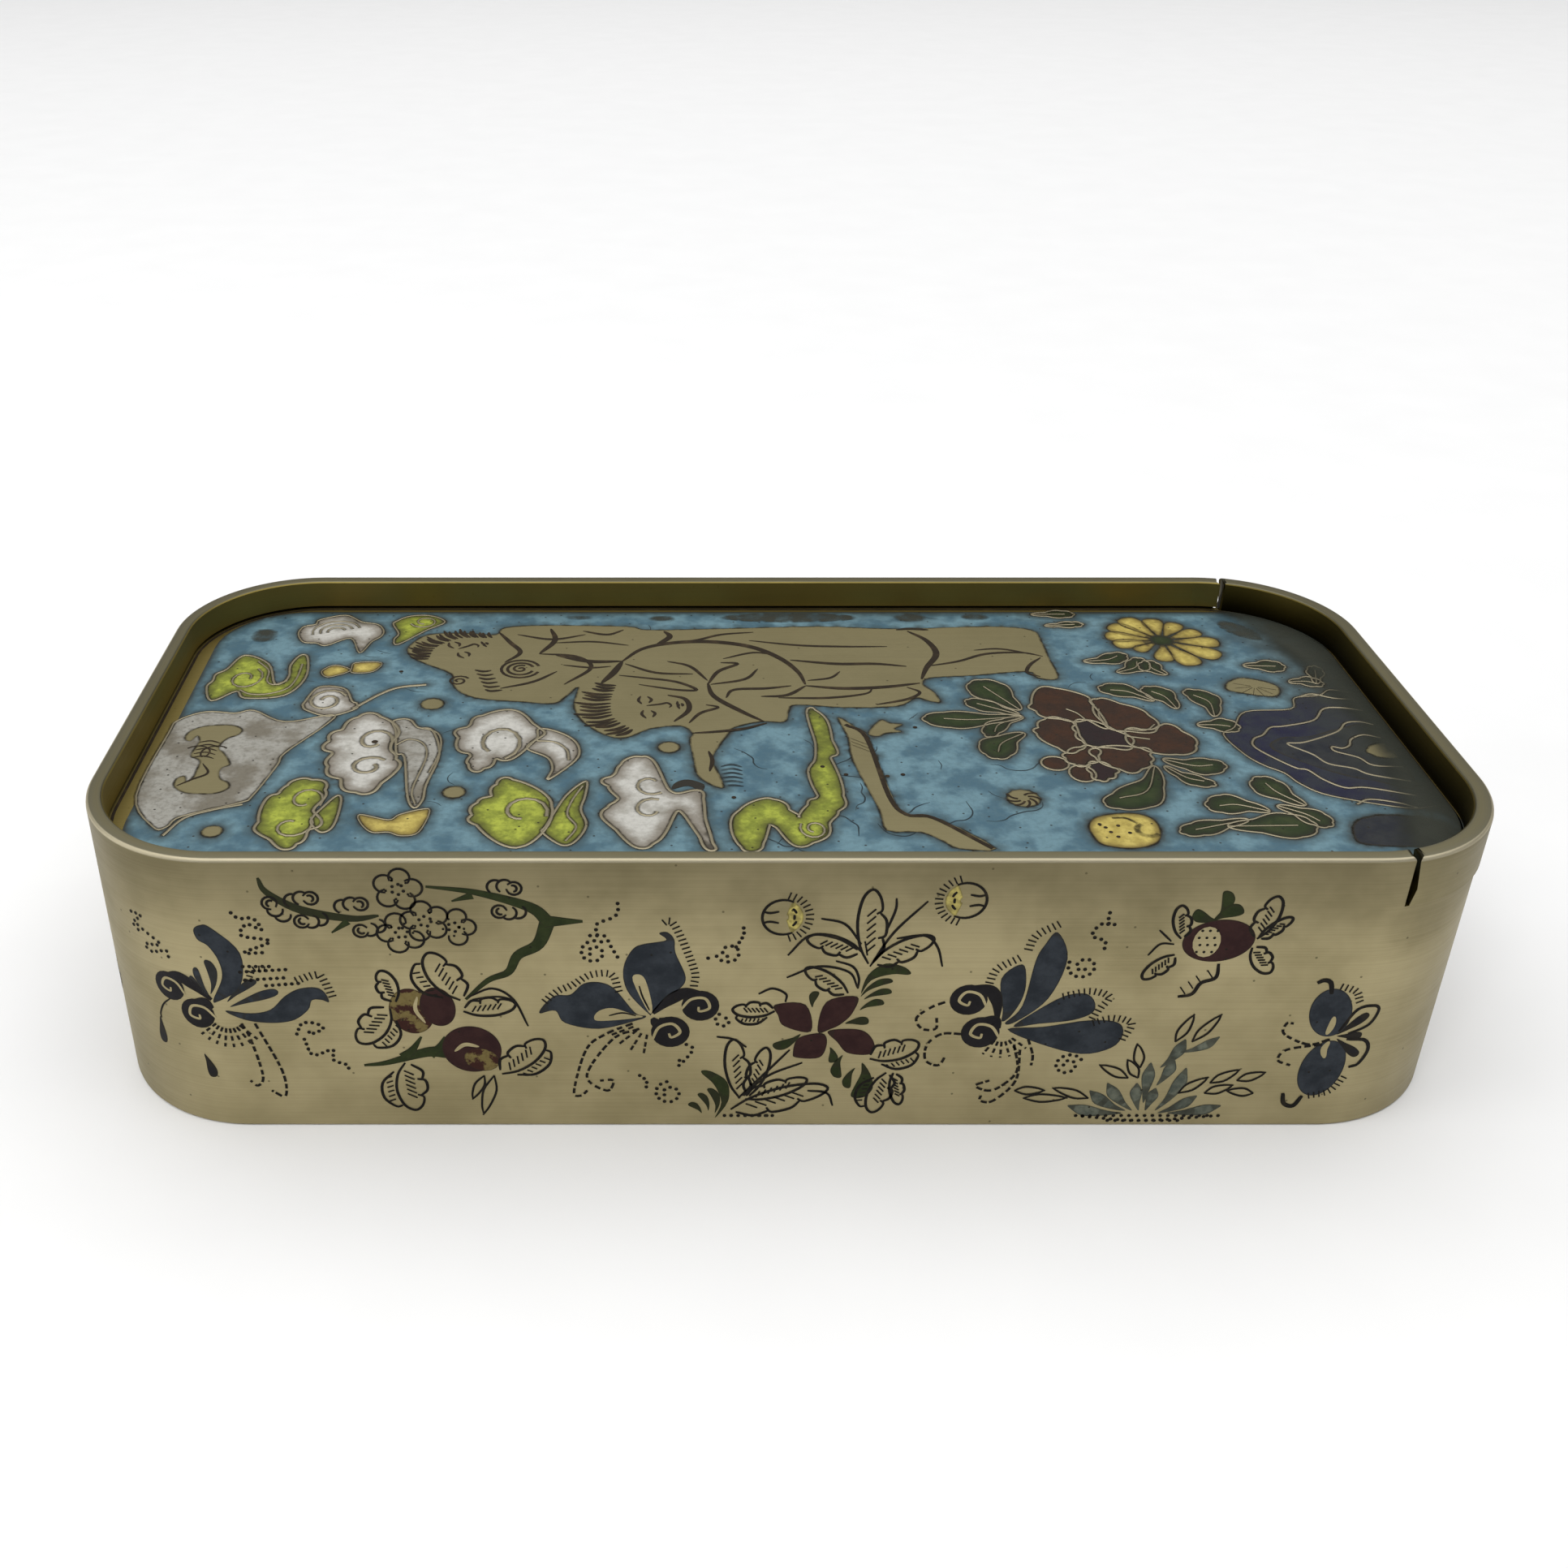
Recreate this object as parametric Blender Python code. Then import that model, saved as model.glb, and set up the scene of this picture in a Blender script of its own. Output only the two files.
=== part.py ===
"""A brass writing box with rounded corners and a sliding lid.

The box is an open tray. Its lid is a flat plate that runs in grooves just under the rim, and it
carries the last stretch of the rim, the end cap, which slides away with it to the right.

Lengths are in metres, +Z is up, +X is the way the lid slides open, and -Y is the front.
The origin is the middle of the underside.
"""

import math

import bmesh
import bpy
from mathutils import Matrix, Vector

MM = 0.001

# Driving dimensions

LENGTH = 210 * MM            # outside, left end to right end
WIDTH = 98 * MM              # outside, front to back
HEIGHT = 49 * MM             # underside to the top of the rim
CORNER_RADIUS = 23 * MM      # outside, seen from above
WALL = 2.5 * MM              # thickness of the band of walls
FLOOR = 2.5 * MM             # thickness of the bottom

LID_THICKNESS = 2.4 * MM
LID_RECESS = 5.6 * MM        # how far the lid's face lies below the rim

GROOVE_SHARE = 0.56          # the groove is cut this far through the wall's thickness
SLIDE_GAP = 0.3 * MM         # running clearance under the lid and beside its edges
HEAD_GAP = 0.6 * MM          # the dark gap that shows between the lid's face and the rim's lip

CUT_SHARE = 0.48             # at the cut the corner has turned in this far towards the groove's edge
CUT_WIDTH_TOP = 0.4 * MM     # the open cut between box and end cap, at the top of the rim
CUT_WIDTH_MIDDLE = 1.1 * MM  # just above the lid's face
CUT_WIDTH_FOOT = 0.5 * MM    # and at the end cap's lower edge
CAP_PROUD = 0.3 * MM         # the end cap stands this far outside the wall below it

RIM_ROUND = 0.6 * MM         # radius of the rim's outer edge
LIP_CHAMFER = 0.3 * MM       # chamfer on the rim's inner edge
FOOT_ROUND = 0.5 * MM        # radius of the edge round the underside
CUT_ROUND = 0.7 * MM         # radius of the rim's corners at the cut
CUT_RUN_OUT = 0.15 * MM      # that round is centred this much high, so it ends in the rim's top

CORNER_STEPS = 14            # straight steps in a quarter turn of a corner
EDGE_STEPS = 3               # straight steps in a rounded edge
OVERCUT = 6 * MM             # how far a cutter runs past what it cuts

# Heights and offsets worked out from them

LID_TOP = HEIGHT - LID_RECESS
LID_UNDERSIDE = LID_TOP - LID_THICKNESS
GROOVE_FLOOR = LID_UNDERSIDE - SLIDE_GAP
GROOVE_ROOF = LID_TOP + HEAD_GAP
GROOVE_INSET = WALL * (1 - GROOVE_SHARE)
LID_INSET = GROOVE_INSET + SLIDE_GAP

# The box's own rim stops a little way into the right corners. The groove runs straight out there,
# so the cut comes before the turning wall would meet it.

BEND_X = LENGTH / 2 - CORNER_RADIUS
CUT_FALL = GROOVE_INSET * CUT_SHARE
CUT_X = BEND_X + math.sqrt(CUT_FALL * (2 * CORNER_RADIUS - CUT_FALL))


def empty_the_scene():
    for thing in list(bpy.data.objects):
        bpy.data.objects.remove(thing, do_unlink=True)


def collection(name):
    made = bpy.data.collections.new(name)
    bpy.context.scene.collection.children.link(made)
    return made


def material(name, colour, roughness):
    made = bpy.data.materials.new(name)
    made.use_nodes = True
    shader = made.node_tree.nodes["Principled BSDF"]
    shader.inputs["Base Color"].default_value = (*colour, 1.0)
    shader.inputs["Roughness"].default_value = roughness
    shader.inputs["Metallic"].default_value = 1.0
    return made


def object_from(name, work, home):
    """Turns a bmesh into a named object in the collection home."""
    mesh = bpy.data.meshes.new(name)
    work.to_mesh(mesh)
    work.free()
    made = bpy.data.objects.new(name, mesh)
    home.objects.link(made)
    return made


def round_edges(work, edges, radius, steps):
    bmesh.ops.bevel(work, geom=edges, offset=radius, offset_type="OFFSET", segments=steps,
                    profile=0.5, affect="EDGES", clamp_overlap=False)


def level_edges(work, height):
    """The edges that lie flat at one height."""
    near = 1e-6
    return [e for e in work.edges if all(abs(v.co.z - height) < near for v in e.verts)]


def block(low, high):
    """A square-edged block between two corners, as a bmesh."""
    work = bmesh.new()
    low, high = Vector(low), Vector(high)
    place = Matrix.Translation((low + high) / 2) @ Matrix.Diagonal((*(high - low), 1))
    bmesh.ops.create_cube(work, size=1, matrix=place)
    return work


def upright_edges(work):
    """A block's four corner edges."""
    return [e for e in work.edges if (e.verts[0].co - e.verts[1].co).xy.length == 0]


def rounded_block(name, home, inset, bottom, top, round_top=0.0, round_bottom=0.0, steps=EDGE_STEPS):
    """A block with the box's plan, taken in by inset all round, between two heights."""
    half_x = LENGTH / 2 - inset
    half_y = WIDTH / 2 - inset
    work = block((-half_x, -half_y, bottom), (half_x, half_y, top))
    round_edges(work, upright_edges(work), CORNER_RADIUS - inset, CORNER_STEPS)
    if round_top:
        round_edges(work, level_edges(work, top), round_top, steps)
    if round_bottom:
        round_edges(work, level_edges(work, bottom), round_bottom, steps)
    return object_from(name, work, home)


def slot_block(name, home, inset, bottom, top):
    """The box's plan taken in by inset, but running straight out through the right end."""
    half_y = WIDTH / 2 - inset
    work = block((inset - LENGTH / 2, -half_y, bottom), (LENGTH / 2 + OVERCUT, half_y, top))
    left = [e for e in upright_edges(work) if e.verts[0].co.x < 0]
    round_edges(work, left, CORNER_RADIUS - inset, CORNER_STEPS)
    return object_from(name, work, home)


def opening_cutter(name, home, floor):
    """The space inside the walls, from floor up. It flares at 45 degrees at the rim's inner edge."""
    flare_foot = HEIGHT - LIP_CHAMFER
    flare_width = LIP_CHAMFER + OVERCUT
    half_x = LENGTH / 2 - WALL + flare_width
    half_y = WIDTH / 2 - WALL + flare_width
    work = block((-half_x, -half_y, flare_foot), (half_x, half_y, HEIGHT + 2 * OVERCUT))
    round_edges(work, upright_edges(work), CORNER_RADIUS - WALL + flare_width, CORNER_STEPS)
    round_edges(work, level_edges(work, flare_foot), flare_width, 1)
    lowest = min(work.faces, key=lambda face: face.calc_center_median().z)
    drawn_down = bmesh.ops.extrude_face_region(work, geom=[lowest])["geom"]
    moved = [part for part in drawn_down if isinstance(part, bmesh.types.BMVert)]
    bmesh.ops.translate(work, verts=moved, vec=(0, 0, floor - flare_foot))
    bmesh.ops.delete(work, geom=[lowest], context="FACES_ONLY")
    return object_from(name, work, home)


def side_profile_cutter(name, home, points):
    """A flat outline in X and Z, run through the box from front to back."""
    curve = bpy.data.curves.new(name + "_outline", "CURVE")
    curve.dimensions = "2D"
    curve.fill_mode = "BOTH"
    curve.extrude = WIDTH / 2 + OVERCUT
    line = curve.splines.new("POLY")
    line.points.add(len(points) - 1)
    for point, (x, z) in zip(line.points, points):
        point.co = (x, z, 0, 1)
    line.use_cyclic_u = True
    drawn = bpy.data.objects.new(name + "_outline", curve)
    drawn.matrix_world = Matrix.Rotation(math.radians(90), 4, "X")
    home.objects.link(drawn)
    bpy.context.view_layer.update()

    seen = drawn.evaluated_get(bpy.context.evaluated_depsgraph_get())
    mesh = bpy.data.meshes.new_from_object(seen)
    made = bpy.data.objects.new(name, mesh)
    made.matrix_world = drawn.matrix_world.copy()
    home.objects.link(made)
    bpy.data.objects.remove(drawn)

    work = bmesh.new()
    work.from_mesh(mesh)
    bmesh.ops.remove_doubles(work, verts=work.verts, dist=1e-7)
    bmesh.ops.recalc_face_normals(work, faces=work.faces)
    work.to_mesh(mesh)
    work.free()
    return made


def flare(x, outward):
    """The quarter round at the top of a cut at x. It bends outward, and out through the rim's top."""
    foot = HEIGHT - CUT_ROUND + CUT_RUN_OUT
    points = []
    for step in range(EDGE_STEPS + 1):
        turn = math.radians(90) * step / EDGE_STEPS
        points.append((x + outward * CUT_ROUND * (1 - math.cos(turn)), foot + CUT_ROUND * math.sin(turn)))
    return points


def boolean(target, operation, other):
    cut = target.modifiers.new(f"{operation.lower()} {other.name}", "BOOLEAN")
    cut.operation = operation
    cut.solver = "EXACT"
    cut.object = other


def hide_cutters(cutters):
    for thing in cutters.objects:
        thing.hide_render = True
        thing.display_type = "WIRE"


def smooth(thing):
    thing.data.shade_smooth()
    thing.data.set_sharp_from_angle(angle=math.radians(35))


def planing_block(name, home, height):
    """Everything under one height: it trims what starts too deep to a single flat face."""
    past_end = LENGTH / 2 + OVERCUT
    past_side = WIDTH / 2 + OVERCUT
    work = block((-past_end, -past_side, height - 3 * OVERCUT), (past_end, past_side, height))
    return object_from(name, work, home)


def make_travel_room(cutters):
    """The space that the lid slides through: the groove, and all of the rim right of the cut."""
    groove = slot_block("box_groove", cutters, GROOVE_INSET, GROOVE_FLOOR - OVERCUT, GROOVE_ROOF)

    past_end = LENGTH / 2 + OVERCUT
    below = GROOVE_FLOOR - 2 * OVERCUT
    above = HEIGHT + OVERCUT
    outline = [(past_end, below), (CUT_X, below)]
    outline += flare(CUT_X, -1)
    outline += [(CUT_X - CUT_ROUND, above), (past_end, above)]
    end_room = side_profile_cutter("box_end_room", cutters, outline)
    boolean(groove, "UNION", end_room)
    boolean(groove, "DIFFERENCE", planing_block("box_groove_floor", cutters, GROOVE_FLOOR))
    return groove


def make_box(parts, cutters, brass):
    """The tray: floor, band of walls, the groove under the rim, and a low right end for the cap."""
    box = rounded_block("box_body", parts, 0.0, 0.0, HEIGHT, round_top=RIM_ROUND, round_bottom=FOOT_ROUND)
    box.data.materials.append(brass)
    boolean(box, "DIFFERENCE", opening_cutter("box_hollow", cutters, FLOOR))
    boolean(box, "DIFFERENCE", make_travel_room(cutters))
    smooth(box)
    return box


def make_lid(parts, cutters, brass):
    """The sliding lid: a plate with a tongue all round, and the rim's end cap on its right end."""
    # Plate and cap both start too deep and are planed off together, once they are one piece.
    below = LID_UNDERSIDE - 2 * OVERCUT
    lid = rounded_block("sliding_lid", parts, LID_INSET, LID_UNDERSIDE - OVERCUT, LID_TOP)
    lid.data.materials.append(brass)
    cap = rounded_block("lid_end_cap", cutters, -CAP_PROUD, below, HEIGHT, round_top=RIM_ROUND)
    boolean(cap, "DIFFERENCE", opening_cutter("lid_cap_well", cutters, below - OVERCUT))

    # The cap's cut face is worn hollow, so the open cut is widest just above the lid's face.
    past_start = -LENGTH / 2 - OVERCUT
    above = HEIGHT + OVERCUT
    foot_x = CUT_X + CUT_WIDTH_FOOT
    outline = [(past_start, below - OVERCUT), (foot_x, below - OVERCUT), (foot_x, LID_UNDERSIDE + SLIDE_GAP)]
    outline.append((CUT_X + CUT_WIDTH_MIDDLE, LID_TOP + SLIDE_GAP))
    outline += flare(CUT_X + CUT_WIDTH_TOP, 1)
    outline += [(CUT_X + CUT_WIDTH_TOP + CUT_ROUND, above), (past_start, above)]
    boolean(cap, "DIFFERENCE", side_profile_cutter("lid_cap_box_side", cutters, outline))

    boolean(lid, "UNION", cap)
    boolean(lid, "DIFFERENCE", planing_block("lid_planed_off", cutters, LID_UNDERSIDE))
    smooth(lid)
    return lid


def main():
    empty_the_scene()
    parts = collection("writing box")
    cutters = collection("cutters")
    box_brass = material("box brass", (0.36, 0.31, 0.18), 0.36)
    lid_brass = material("lid brass", (0.33, 0.28, 0.17), 0.40)
    make_box(parts, cutters, box_brass)
    make_lid(parts, cutters, lid_brass)
    hide_cutters(cutters)


main()
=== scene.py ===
# %% [markdown]
# # A brass writing box with a sliding enamelled lid
# The box is a low tray of thick brass with rounded corners. Its lid is a brass plate that slides in
# grooves under the rim. The maker cut shallow cells into the brass, filled them with coloured
# glass paste, fired it and ground everything level: that is champleve enamel.
# This lesson dresses the imported model. It starts by loading that model, which never moves, and by
# noting its box.

# %% Load the imported model
import math
import random

import bmesh
import bpy
import numpy as np
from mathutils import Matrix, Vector, geometry, kdtree


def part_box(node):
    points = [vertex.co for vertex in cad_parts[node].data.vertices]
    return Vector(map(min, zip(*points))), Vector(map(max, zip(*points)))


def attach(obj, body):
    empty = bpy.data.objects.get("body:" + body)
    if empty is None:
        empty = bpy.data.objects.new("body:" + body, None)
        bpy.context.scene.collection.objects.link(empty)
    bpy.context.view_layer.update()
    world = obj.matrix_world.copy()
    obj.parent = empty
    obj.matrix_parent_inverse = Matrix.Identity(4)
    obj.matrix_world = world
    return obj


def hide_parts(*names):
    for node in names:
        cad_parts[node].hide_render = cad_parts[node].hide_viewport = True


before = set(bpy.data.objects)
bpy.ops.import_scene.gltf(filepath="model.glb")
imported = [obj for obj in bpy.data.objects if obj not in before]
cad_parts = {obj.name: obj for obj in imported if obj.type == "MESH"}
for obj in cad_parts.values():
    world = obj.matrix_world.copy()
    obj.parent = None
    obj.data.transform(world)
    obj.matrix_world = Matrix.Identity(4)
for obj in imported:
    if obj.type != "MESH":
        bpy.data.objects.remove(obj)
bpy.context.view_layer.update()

# %% [markdown]
# ## Sizes
# A maker thinks of a small box in millimetres, so every measure here is in millimetres and is turned
# into metres only when a mesh is made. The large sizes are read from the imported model. The small
# ones, such as the wall and the corner, are named once and used everywhere.

# %% Sizes in millimetres
MM = 0.001
body_low, body_high = (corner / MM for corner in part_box("box_body"))
lid_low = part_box("sliding_lid")[0] / MM

LENGTH = body_high.x - body_low.x
WIDTH = body_high.y - body_low.y
HEIGHT = body_high.z
CORNER = 23.0            # radius of the box's corners, outside
WALL = 2.5
FLOOR = 2.5
LID_UNDERSIDE = lid_low.z
LID_TOP = LID_UNDERSIDE + 2.4        # the lid's thickness
GROOVE_FLOOR = LID_UNDERSIDE - 0.3   # the play under the lid
GROOVE_ROOF = LID_TOP + 0.6          # and above it
FOOT_ROUND, RIM_ROUND = 0.5, 0.6     # radius of the rounded edge at the foot and at the rim
RIM_BEND = 0.7           # this far below the top the rim starts to bend in
CHAMFER = 0.3            # the small slant along the rim's inner edge
GROOVE_INSET = 0.8       # how far in from the outside the groove's bottom lies
LID_INSET = 1.4          # how far in from the outside the lid's edge lies
CAP_PROUD = 0.28         # the lid's end cap stands this far outside the wall
CUT_X = 86.9             # where the box's rim stops and the end cap begins
STEP = 0.3               # height of the small steps at the cap's foot
# How far from the rim's end the cap begins, at four heights.
CUT_WIDTHS = ((LID_UNDERSIDE, 0.5), (LID_UNDERSIDE + STEP, 0.5), (LID_TOP + STEP, 1.1), (HEIGHT, 0.4))
SKIN = 0.06              # the wall's skin lies this far in, so that its inlays stay within the box
print(f"box {LENGTH:.1f} x {WIDTH:.1f} x {HEIGHT:.1f} mm, lid face at {LID_TOP:.1f} mm")

# %% [markdown]
# ## Walking round the wall
# The side pictures run round the corners, as the engraver's tool did. So a place on the wall is given
# by a walk along the outside, from the middle of the front to the right, and by a height. The plan is
# straight runs and quarter circles, and one function turns the walk into a point and a direction.

# %% The plan of the box
RUN = LENGTH / 2 - CORNER            # half of a long side's straight stretch
END = WIDTH / 2 - CORNER             # half of an end's straight stretch
TURN = CORNER * math.pi / 2          # length of one corner
ROUND_TRIP = 4 * (RUN + END + TURN)
CORNER_CENTRES = ((RUN, -END), (RUN, END), (-RUN, END), (-RUN, -END))


def direction(angle):
    """The arrow of length 1 at that angle, in radians."""
    return Vector((math.cos(angle), math.sin(angle)))


def left_of(arrow):
    """The arrow turned a quarter against the clock."""
    return Vector((-arrow.y, arrow.x))


def on_plan(walk, inset=0.0):
    """The point at that walk, moved in by inset, and the outward direction there."""
    left = walk % ROUND_TRIP - RUN
    if left < 0:
        return Vector((RUN + left, inset - WIDTH / 2)), Vector((0.0, -1.0))
    for number, centre in enumerate(CORNER_CENTRES):
        facing = math.radians(90 * (number - 1))
        if left <= TURN:
            outward = direction(facing + left / CORNER)
            return Vector(centre) + outward * (CORNER - inset), outward
        left -= TURN
        straight = 2 * (END if number % 2 == 0 else RUN)
        if left <= straight:
            outward = direction(facing + math.pi / 2)
            along = left_of(outward)
            return Vector(centre) + outward * (CORNER - inset) + along * left, outward
        left -= straight
    return Vector((0.0, inset - WIDTH / 2)), Vector((0.0, -1.0))


def on_wall(walk, height, lift):
    """A place on the outside of the wall. A lift of 0 is the wall's skin."""
    point, _ = on_plan(walk, SKIN - lift)
    return Vector((point.x, point.y, height))


def on_lid(x, y, lift):
    """A place on the lid's face."""
    return Vector((x, y, LID_TOP + lift))


print(f"once round the wall is {ROUND_TRIP:.1f} mm")

# %% [markdown]
# ## A drawing kit
# Enamel cells, brass cell walls and engraved lines are all flat figures on a surface. Each could be
# painted by a texture, but then its edge would be only as sharp as the image. Here each is a thin
# mesh that follows the surface, so that edges stay crisp and the light sees real brass between real
# glass. A Layer gathers the figures of one finish, and becomes one mesh with one material.

# %% A layer of figures on one surface
HAIR, HAIR_STEPS = 0.0012, 5         # crossing figures lie this much apart, in so many steps


class Layer:
    """Figures of one finish on one surface, gathered in millimetres."""

    def __init__(self, name, surface):
        self.name = name
        self.surface = surface
        self.shift = (0.0, 0.0)
        self.points = []
        self.faces = []
        self.shade = []
        self.figures = 0

    def add(self, flat_points, faces, lifts, shades):
        """Adds one figure, a hair higher than the last, so that two that cross never share a height."""
        self.figures += 1
        first, hair = len(self.points), HAIR * (self.figures % HAIR_STEPS)
        for (u, v), lift, shade in zip(flat_points, lifts, shades):
            self.points.append((u + self.shift[0], v + self.shift[1], lift + hair))
            self.shade.append(shade)
        self.faces += [tuple(first + i for i in face) for face in faces]

    def mesh_object(self, finish, body):
        """The layer as an object that rides on a body. It keeps two values at each point: how deep it
        lies inside its cell, for the finish to darken edges, and its flat place in millimetres."""
        mesh = bpy.data.meshes.new(self.name)
        mesh.from_pydata([self.surface(*point) * MM for point in self.points], [], self.faces)
        mesh.materials.append(finish)
        depth = mesh.attributes.new("depth", "FLOAT", "POINT")
        depth.data.foreach_set("value", np.array(self.shade, np.float32))
        place = mesh.attributes.new("place", "FLOAT_VECTOR", "POINT")
        place.data.foreach_set("vector", np.array(self.points, np.float32).ravel())
        mesh.shade_smooth()
        made = bpy.data.objects.new(self.name, mesh)
        bpy.context.scene.collection.objects.link(made)
        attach(made, body)
        print(f"{self.name}: {len(self.points)} points, {len(self.faces)} faces")
        return made


# %% [markdown]
# A hand-drawn line is a few points with a smooth curve through them. Each stretch is a cubic that also
# looks at the point before and the point after. It passes through every point, so the places read off
# the object stay exactly where they were.

# %% Smooth lines, curls and placing
def smooth_line(points, steps=6, closed=False):
    """A smooth curve through the points."""
    knots = [Vector(point) for point in points]
    if len(knots) < 3:
        return knots
    if closed:
        knots = [knots[-1]] + knots + knots[:2]
    else:
        knots = [2 * knots[0] - knots[1]] + knots + [2 * knots[-1] - knots[-2]]
    line = []
    for a, b, c, d in zip(knots, knots[1:], knots[2:], knots[3:]):
        for step in range(steps):
            t = step / steps
            line.append(0.5 * (2 * b + (c - a) * t + (2 * a - 5 * b + 4 * c - d) * t ** 2
                               + (3 * b - a - 3 * c + d) * t ** 3))
    if not closed:
        line.append(knots[-2])
    return line


def curl(centre, outer, inner, turns, start):
    """A spiral line from outside in. start is in degrees; turns below 0 run clockwise."""
    steps_per_turn = 14
    count = max(3, int(abs(turns) * steps_per_turn))
    line = []
    for step in range(count + 1):
        t = step / count
        angle = math.radians(start) + 2 * math.pi * turns * t
        radius = outer + (inner - outer) * t
        line.append(Vector(centre) + radius * direction(angle))
    return line


def on_circle(centre, radius, degrees):
    """The point of a circle at that angle."""
    return Vector(centre) + radius * direction(math.radians(degrees))


def arc(centre, radius, start, end, steps=8):
    """Part of a circle between two angles in degrees."""
    return [on_circle(centre, radius, start + (end - start) * step / steps) for step in range(steps + 1)]


def moved(points, at=(0, 0), turn=0.0, size=1.0):
    """The points of a small figure, sized, turned by degrees and put in place."""
    c, s = math.cos(math.radians(turn)), math.sin(math.radians(turn))
    out = []
    for x, y in points:
        out.append(Vector((at[0] + size * (c * x - s * y), at[1] + size * (s * x + c * y))))
    return out


def oval(centre, width, height, turn=0.0):
    """An ellipse, turned by degrees."""
    sides = 16
    ring = arc((0, 0), 0.5, 0, 360 - 360 / sides, sides - 1)
    return moved([(width * p.x, height * p.y) for p in ring], centre, turn)


def finger(root, tip, width, bend=0.0, blunt=0.8):
    """The outline of a petal, leaf or wing from root to tip, bent to its left by a share of its
    length. A blunt of 0.8 gives a round end and 0.3 a pointed one."""
    root, tip = Vector(root), Vector(tip)
    ahead = tip - root
    side = left_of(ahead)
    outline = []
    for along, out in ((0.0, 0.0), (0.3, 0.25), (0.68, 0.5), (0.93, 0.5 * blunt), (1.0, 0.0),
                       (0.93, -0.5 * blunt), (0.68, -0.5), (0.3, -0.25)):
        spine = root + along * ahead + (bend * 4 * along * (1 - along)) * side
        outline.append(spine + out * width * side.normalized())
    return outline


# %% [markdown]
# A line that was cut with a graver swells in the middle and runs out to a point. A wire or cell wall
# keeps its width and has a rounded top. One ribbon makes both: it has two points across when it is
# flat, and five when it is crowned.

# %% Ribbons
def swelling(t):
    """Width along a graver's stroke, as a share of its greatest."""
    return 0.25 + 0.75 * math.sin(math.pi * min(max(t, 0.0), 1.0)) ** 0.6


def steady(t):
    """The same for a stroke that is cut almost evenly."""
    return 0.65 + 0.35 * math.sin(math.pi * min(max(t, 0.0), 1.0)) ** 0.5


def growing(t):
    """The same for a twig, from its tip."""
    return 0.2 + 0.8 * t


def ribbon(layer, line, width, lift, crown=0.0, taper=None, soft=False):
    """A strip along a line. A soft one has a middle row, so that its finish can fade to the edges."""
    line = [Vector(point) for point in line]
    line = [p for i, p in enumerate(line) if i == 0 or (p - line[i - 1]).length > 0.01]
    if len(line) < 2:
        return
    across, rise = ((-0.5, 0.5), (0.0, 0.0))
    if crown or soft:
        across, rise = ((-0.5, -0.38, 0.0, 0.38, 0.5), (0.0, 0.8, 1.0, 0.8, 0.0))
    lengths = [0.0]
    for a, b in zip(line, line[1:]):
        lengths.append(lengths[-1] + (b - a).length)
    points, lifts, depths = [], [], []
    for i, point in enumerate(line):
        ahead = line[min(i + 1, len(line) - 1)] - line[max(i - 1, 0)]
        side = left_of(ahead).normalized()
        here = width * (taper(lengths[i] / lengths[-1]) if taper else 1.0)
        for share, up in zip(across, rise):
            points.append(point + side * share * here)
            lifts.append(lift + crown * up)
            depths.append(here * (0.5 - abs(share)))
    wide = len(across)
    faces = []
    for i in range(len(line) - 1):
        for j in range(wide - 1):
            a = i * wide + j
            faces.append((a + 1, a, a + wide, a + wide + 1))
    layer.add(points, faces, lifts, depths)


def stroke(layer, points, width, lift, steps=6, taper=swelling):
    """A stroke through a few points."""
    ribbon(layer, smooth_line(points, steps), width, lift, taper=taper)


def dot(layer, centre, radius, lift, sides=7):
    ring = [Vector(centre) + radius * direction(2 * math.pi * k / sides) for k in range(sides)]
    layer.add(ring, [tuple(range(sides))], [lift] * sides, [0.0] * sides)


# %% [markdown]
# A filled cell is cut into triangles between its outline and a loose grid of points inside. The grid
# lets a cell bend round the corner of the box, and lets each point know how far it is from the
# nearest edge, which is where dirt gathers.

# %% Filled cells
def inside(point, outline):
    """Whether the point lies in the outline, by counting crossings of a line to the right."""
    x, y = point
    odd = False
    for (x1, y1), (x2, y2) in zip(outline, outline[1:] + outline[:1]):
        if (y1 > y) != (y2 > y) and x < x1 + (y - y1) / (y2 - y1) * (x2 - x1):
            odd = not odd
    return odd


def fill(layer, outline, lift, grid=0.0):
    """Fills an outline. A grid above 0 sets points inside that far apart."""
    margin = 0.3 * grid      # no inner point comes nearer to the outline than this
    rim = [Vector(p) for p in outline]
    edges = [(k, (k + 1) % len(rim)) for k in range(len(rim))]
    tree = kdtree.KDTree(len(rim))
    for k, p in enumerate(rim):
        tree.insert((p.x, p.y, 0), k)
    tree.balance()
    points = list(rim)
    flat = [(p.x, p.y) for p in rim]
    if grid:
        xs, ys = [p.x for p in rim], [p.y for p in rim]
        for row in range(int((max(ys) - min(ys)) / grid) + 1):
            for column in range(int((max(xs) - min(xs)) / grid) + 1):
                p = (min(xs) + (column + 0.5 * (row % 2)) * grid, min(ys) + row * grid)
                if inside(p, flat) and tree.find((*p, 0))[2] > margin:
                    points.append(Vector(p))
    made, _, faces, _, _, _ = geometry.delaunay_2d_cdt(points, edges, [], 0, 1e-5, True)
    kept = []
    for face in faces:
        middle = sum((made[k] for k in face), Vector((0.0, 0.0))) / len(face)
        if inside(middle, flat):
            kept.append(face)
    depths = [tree.find((p.x, p.y, 0))[2] for p in made]
    layer.add(made, kept, [lift] * len(made), depths)
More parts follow.
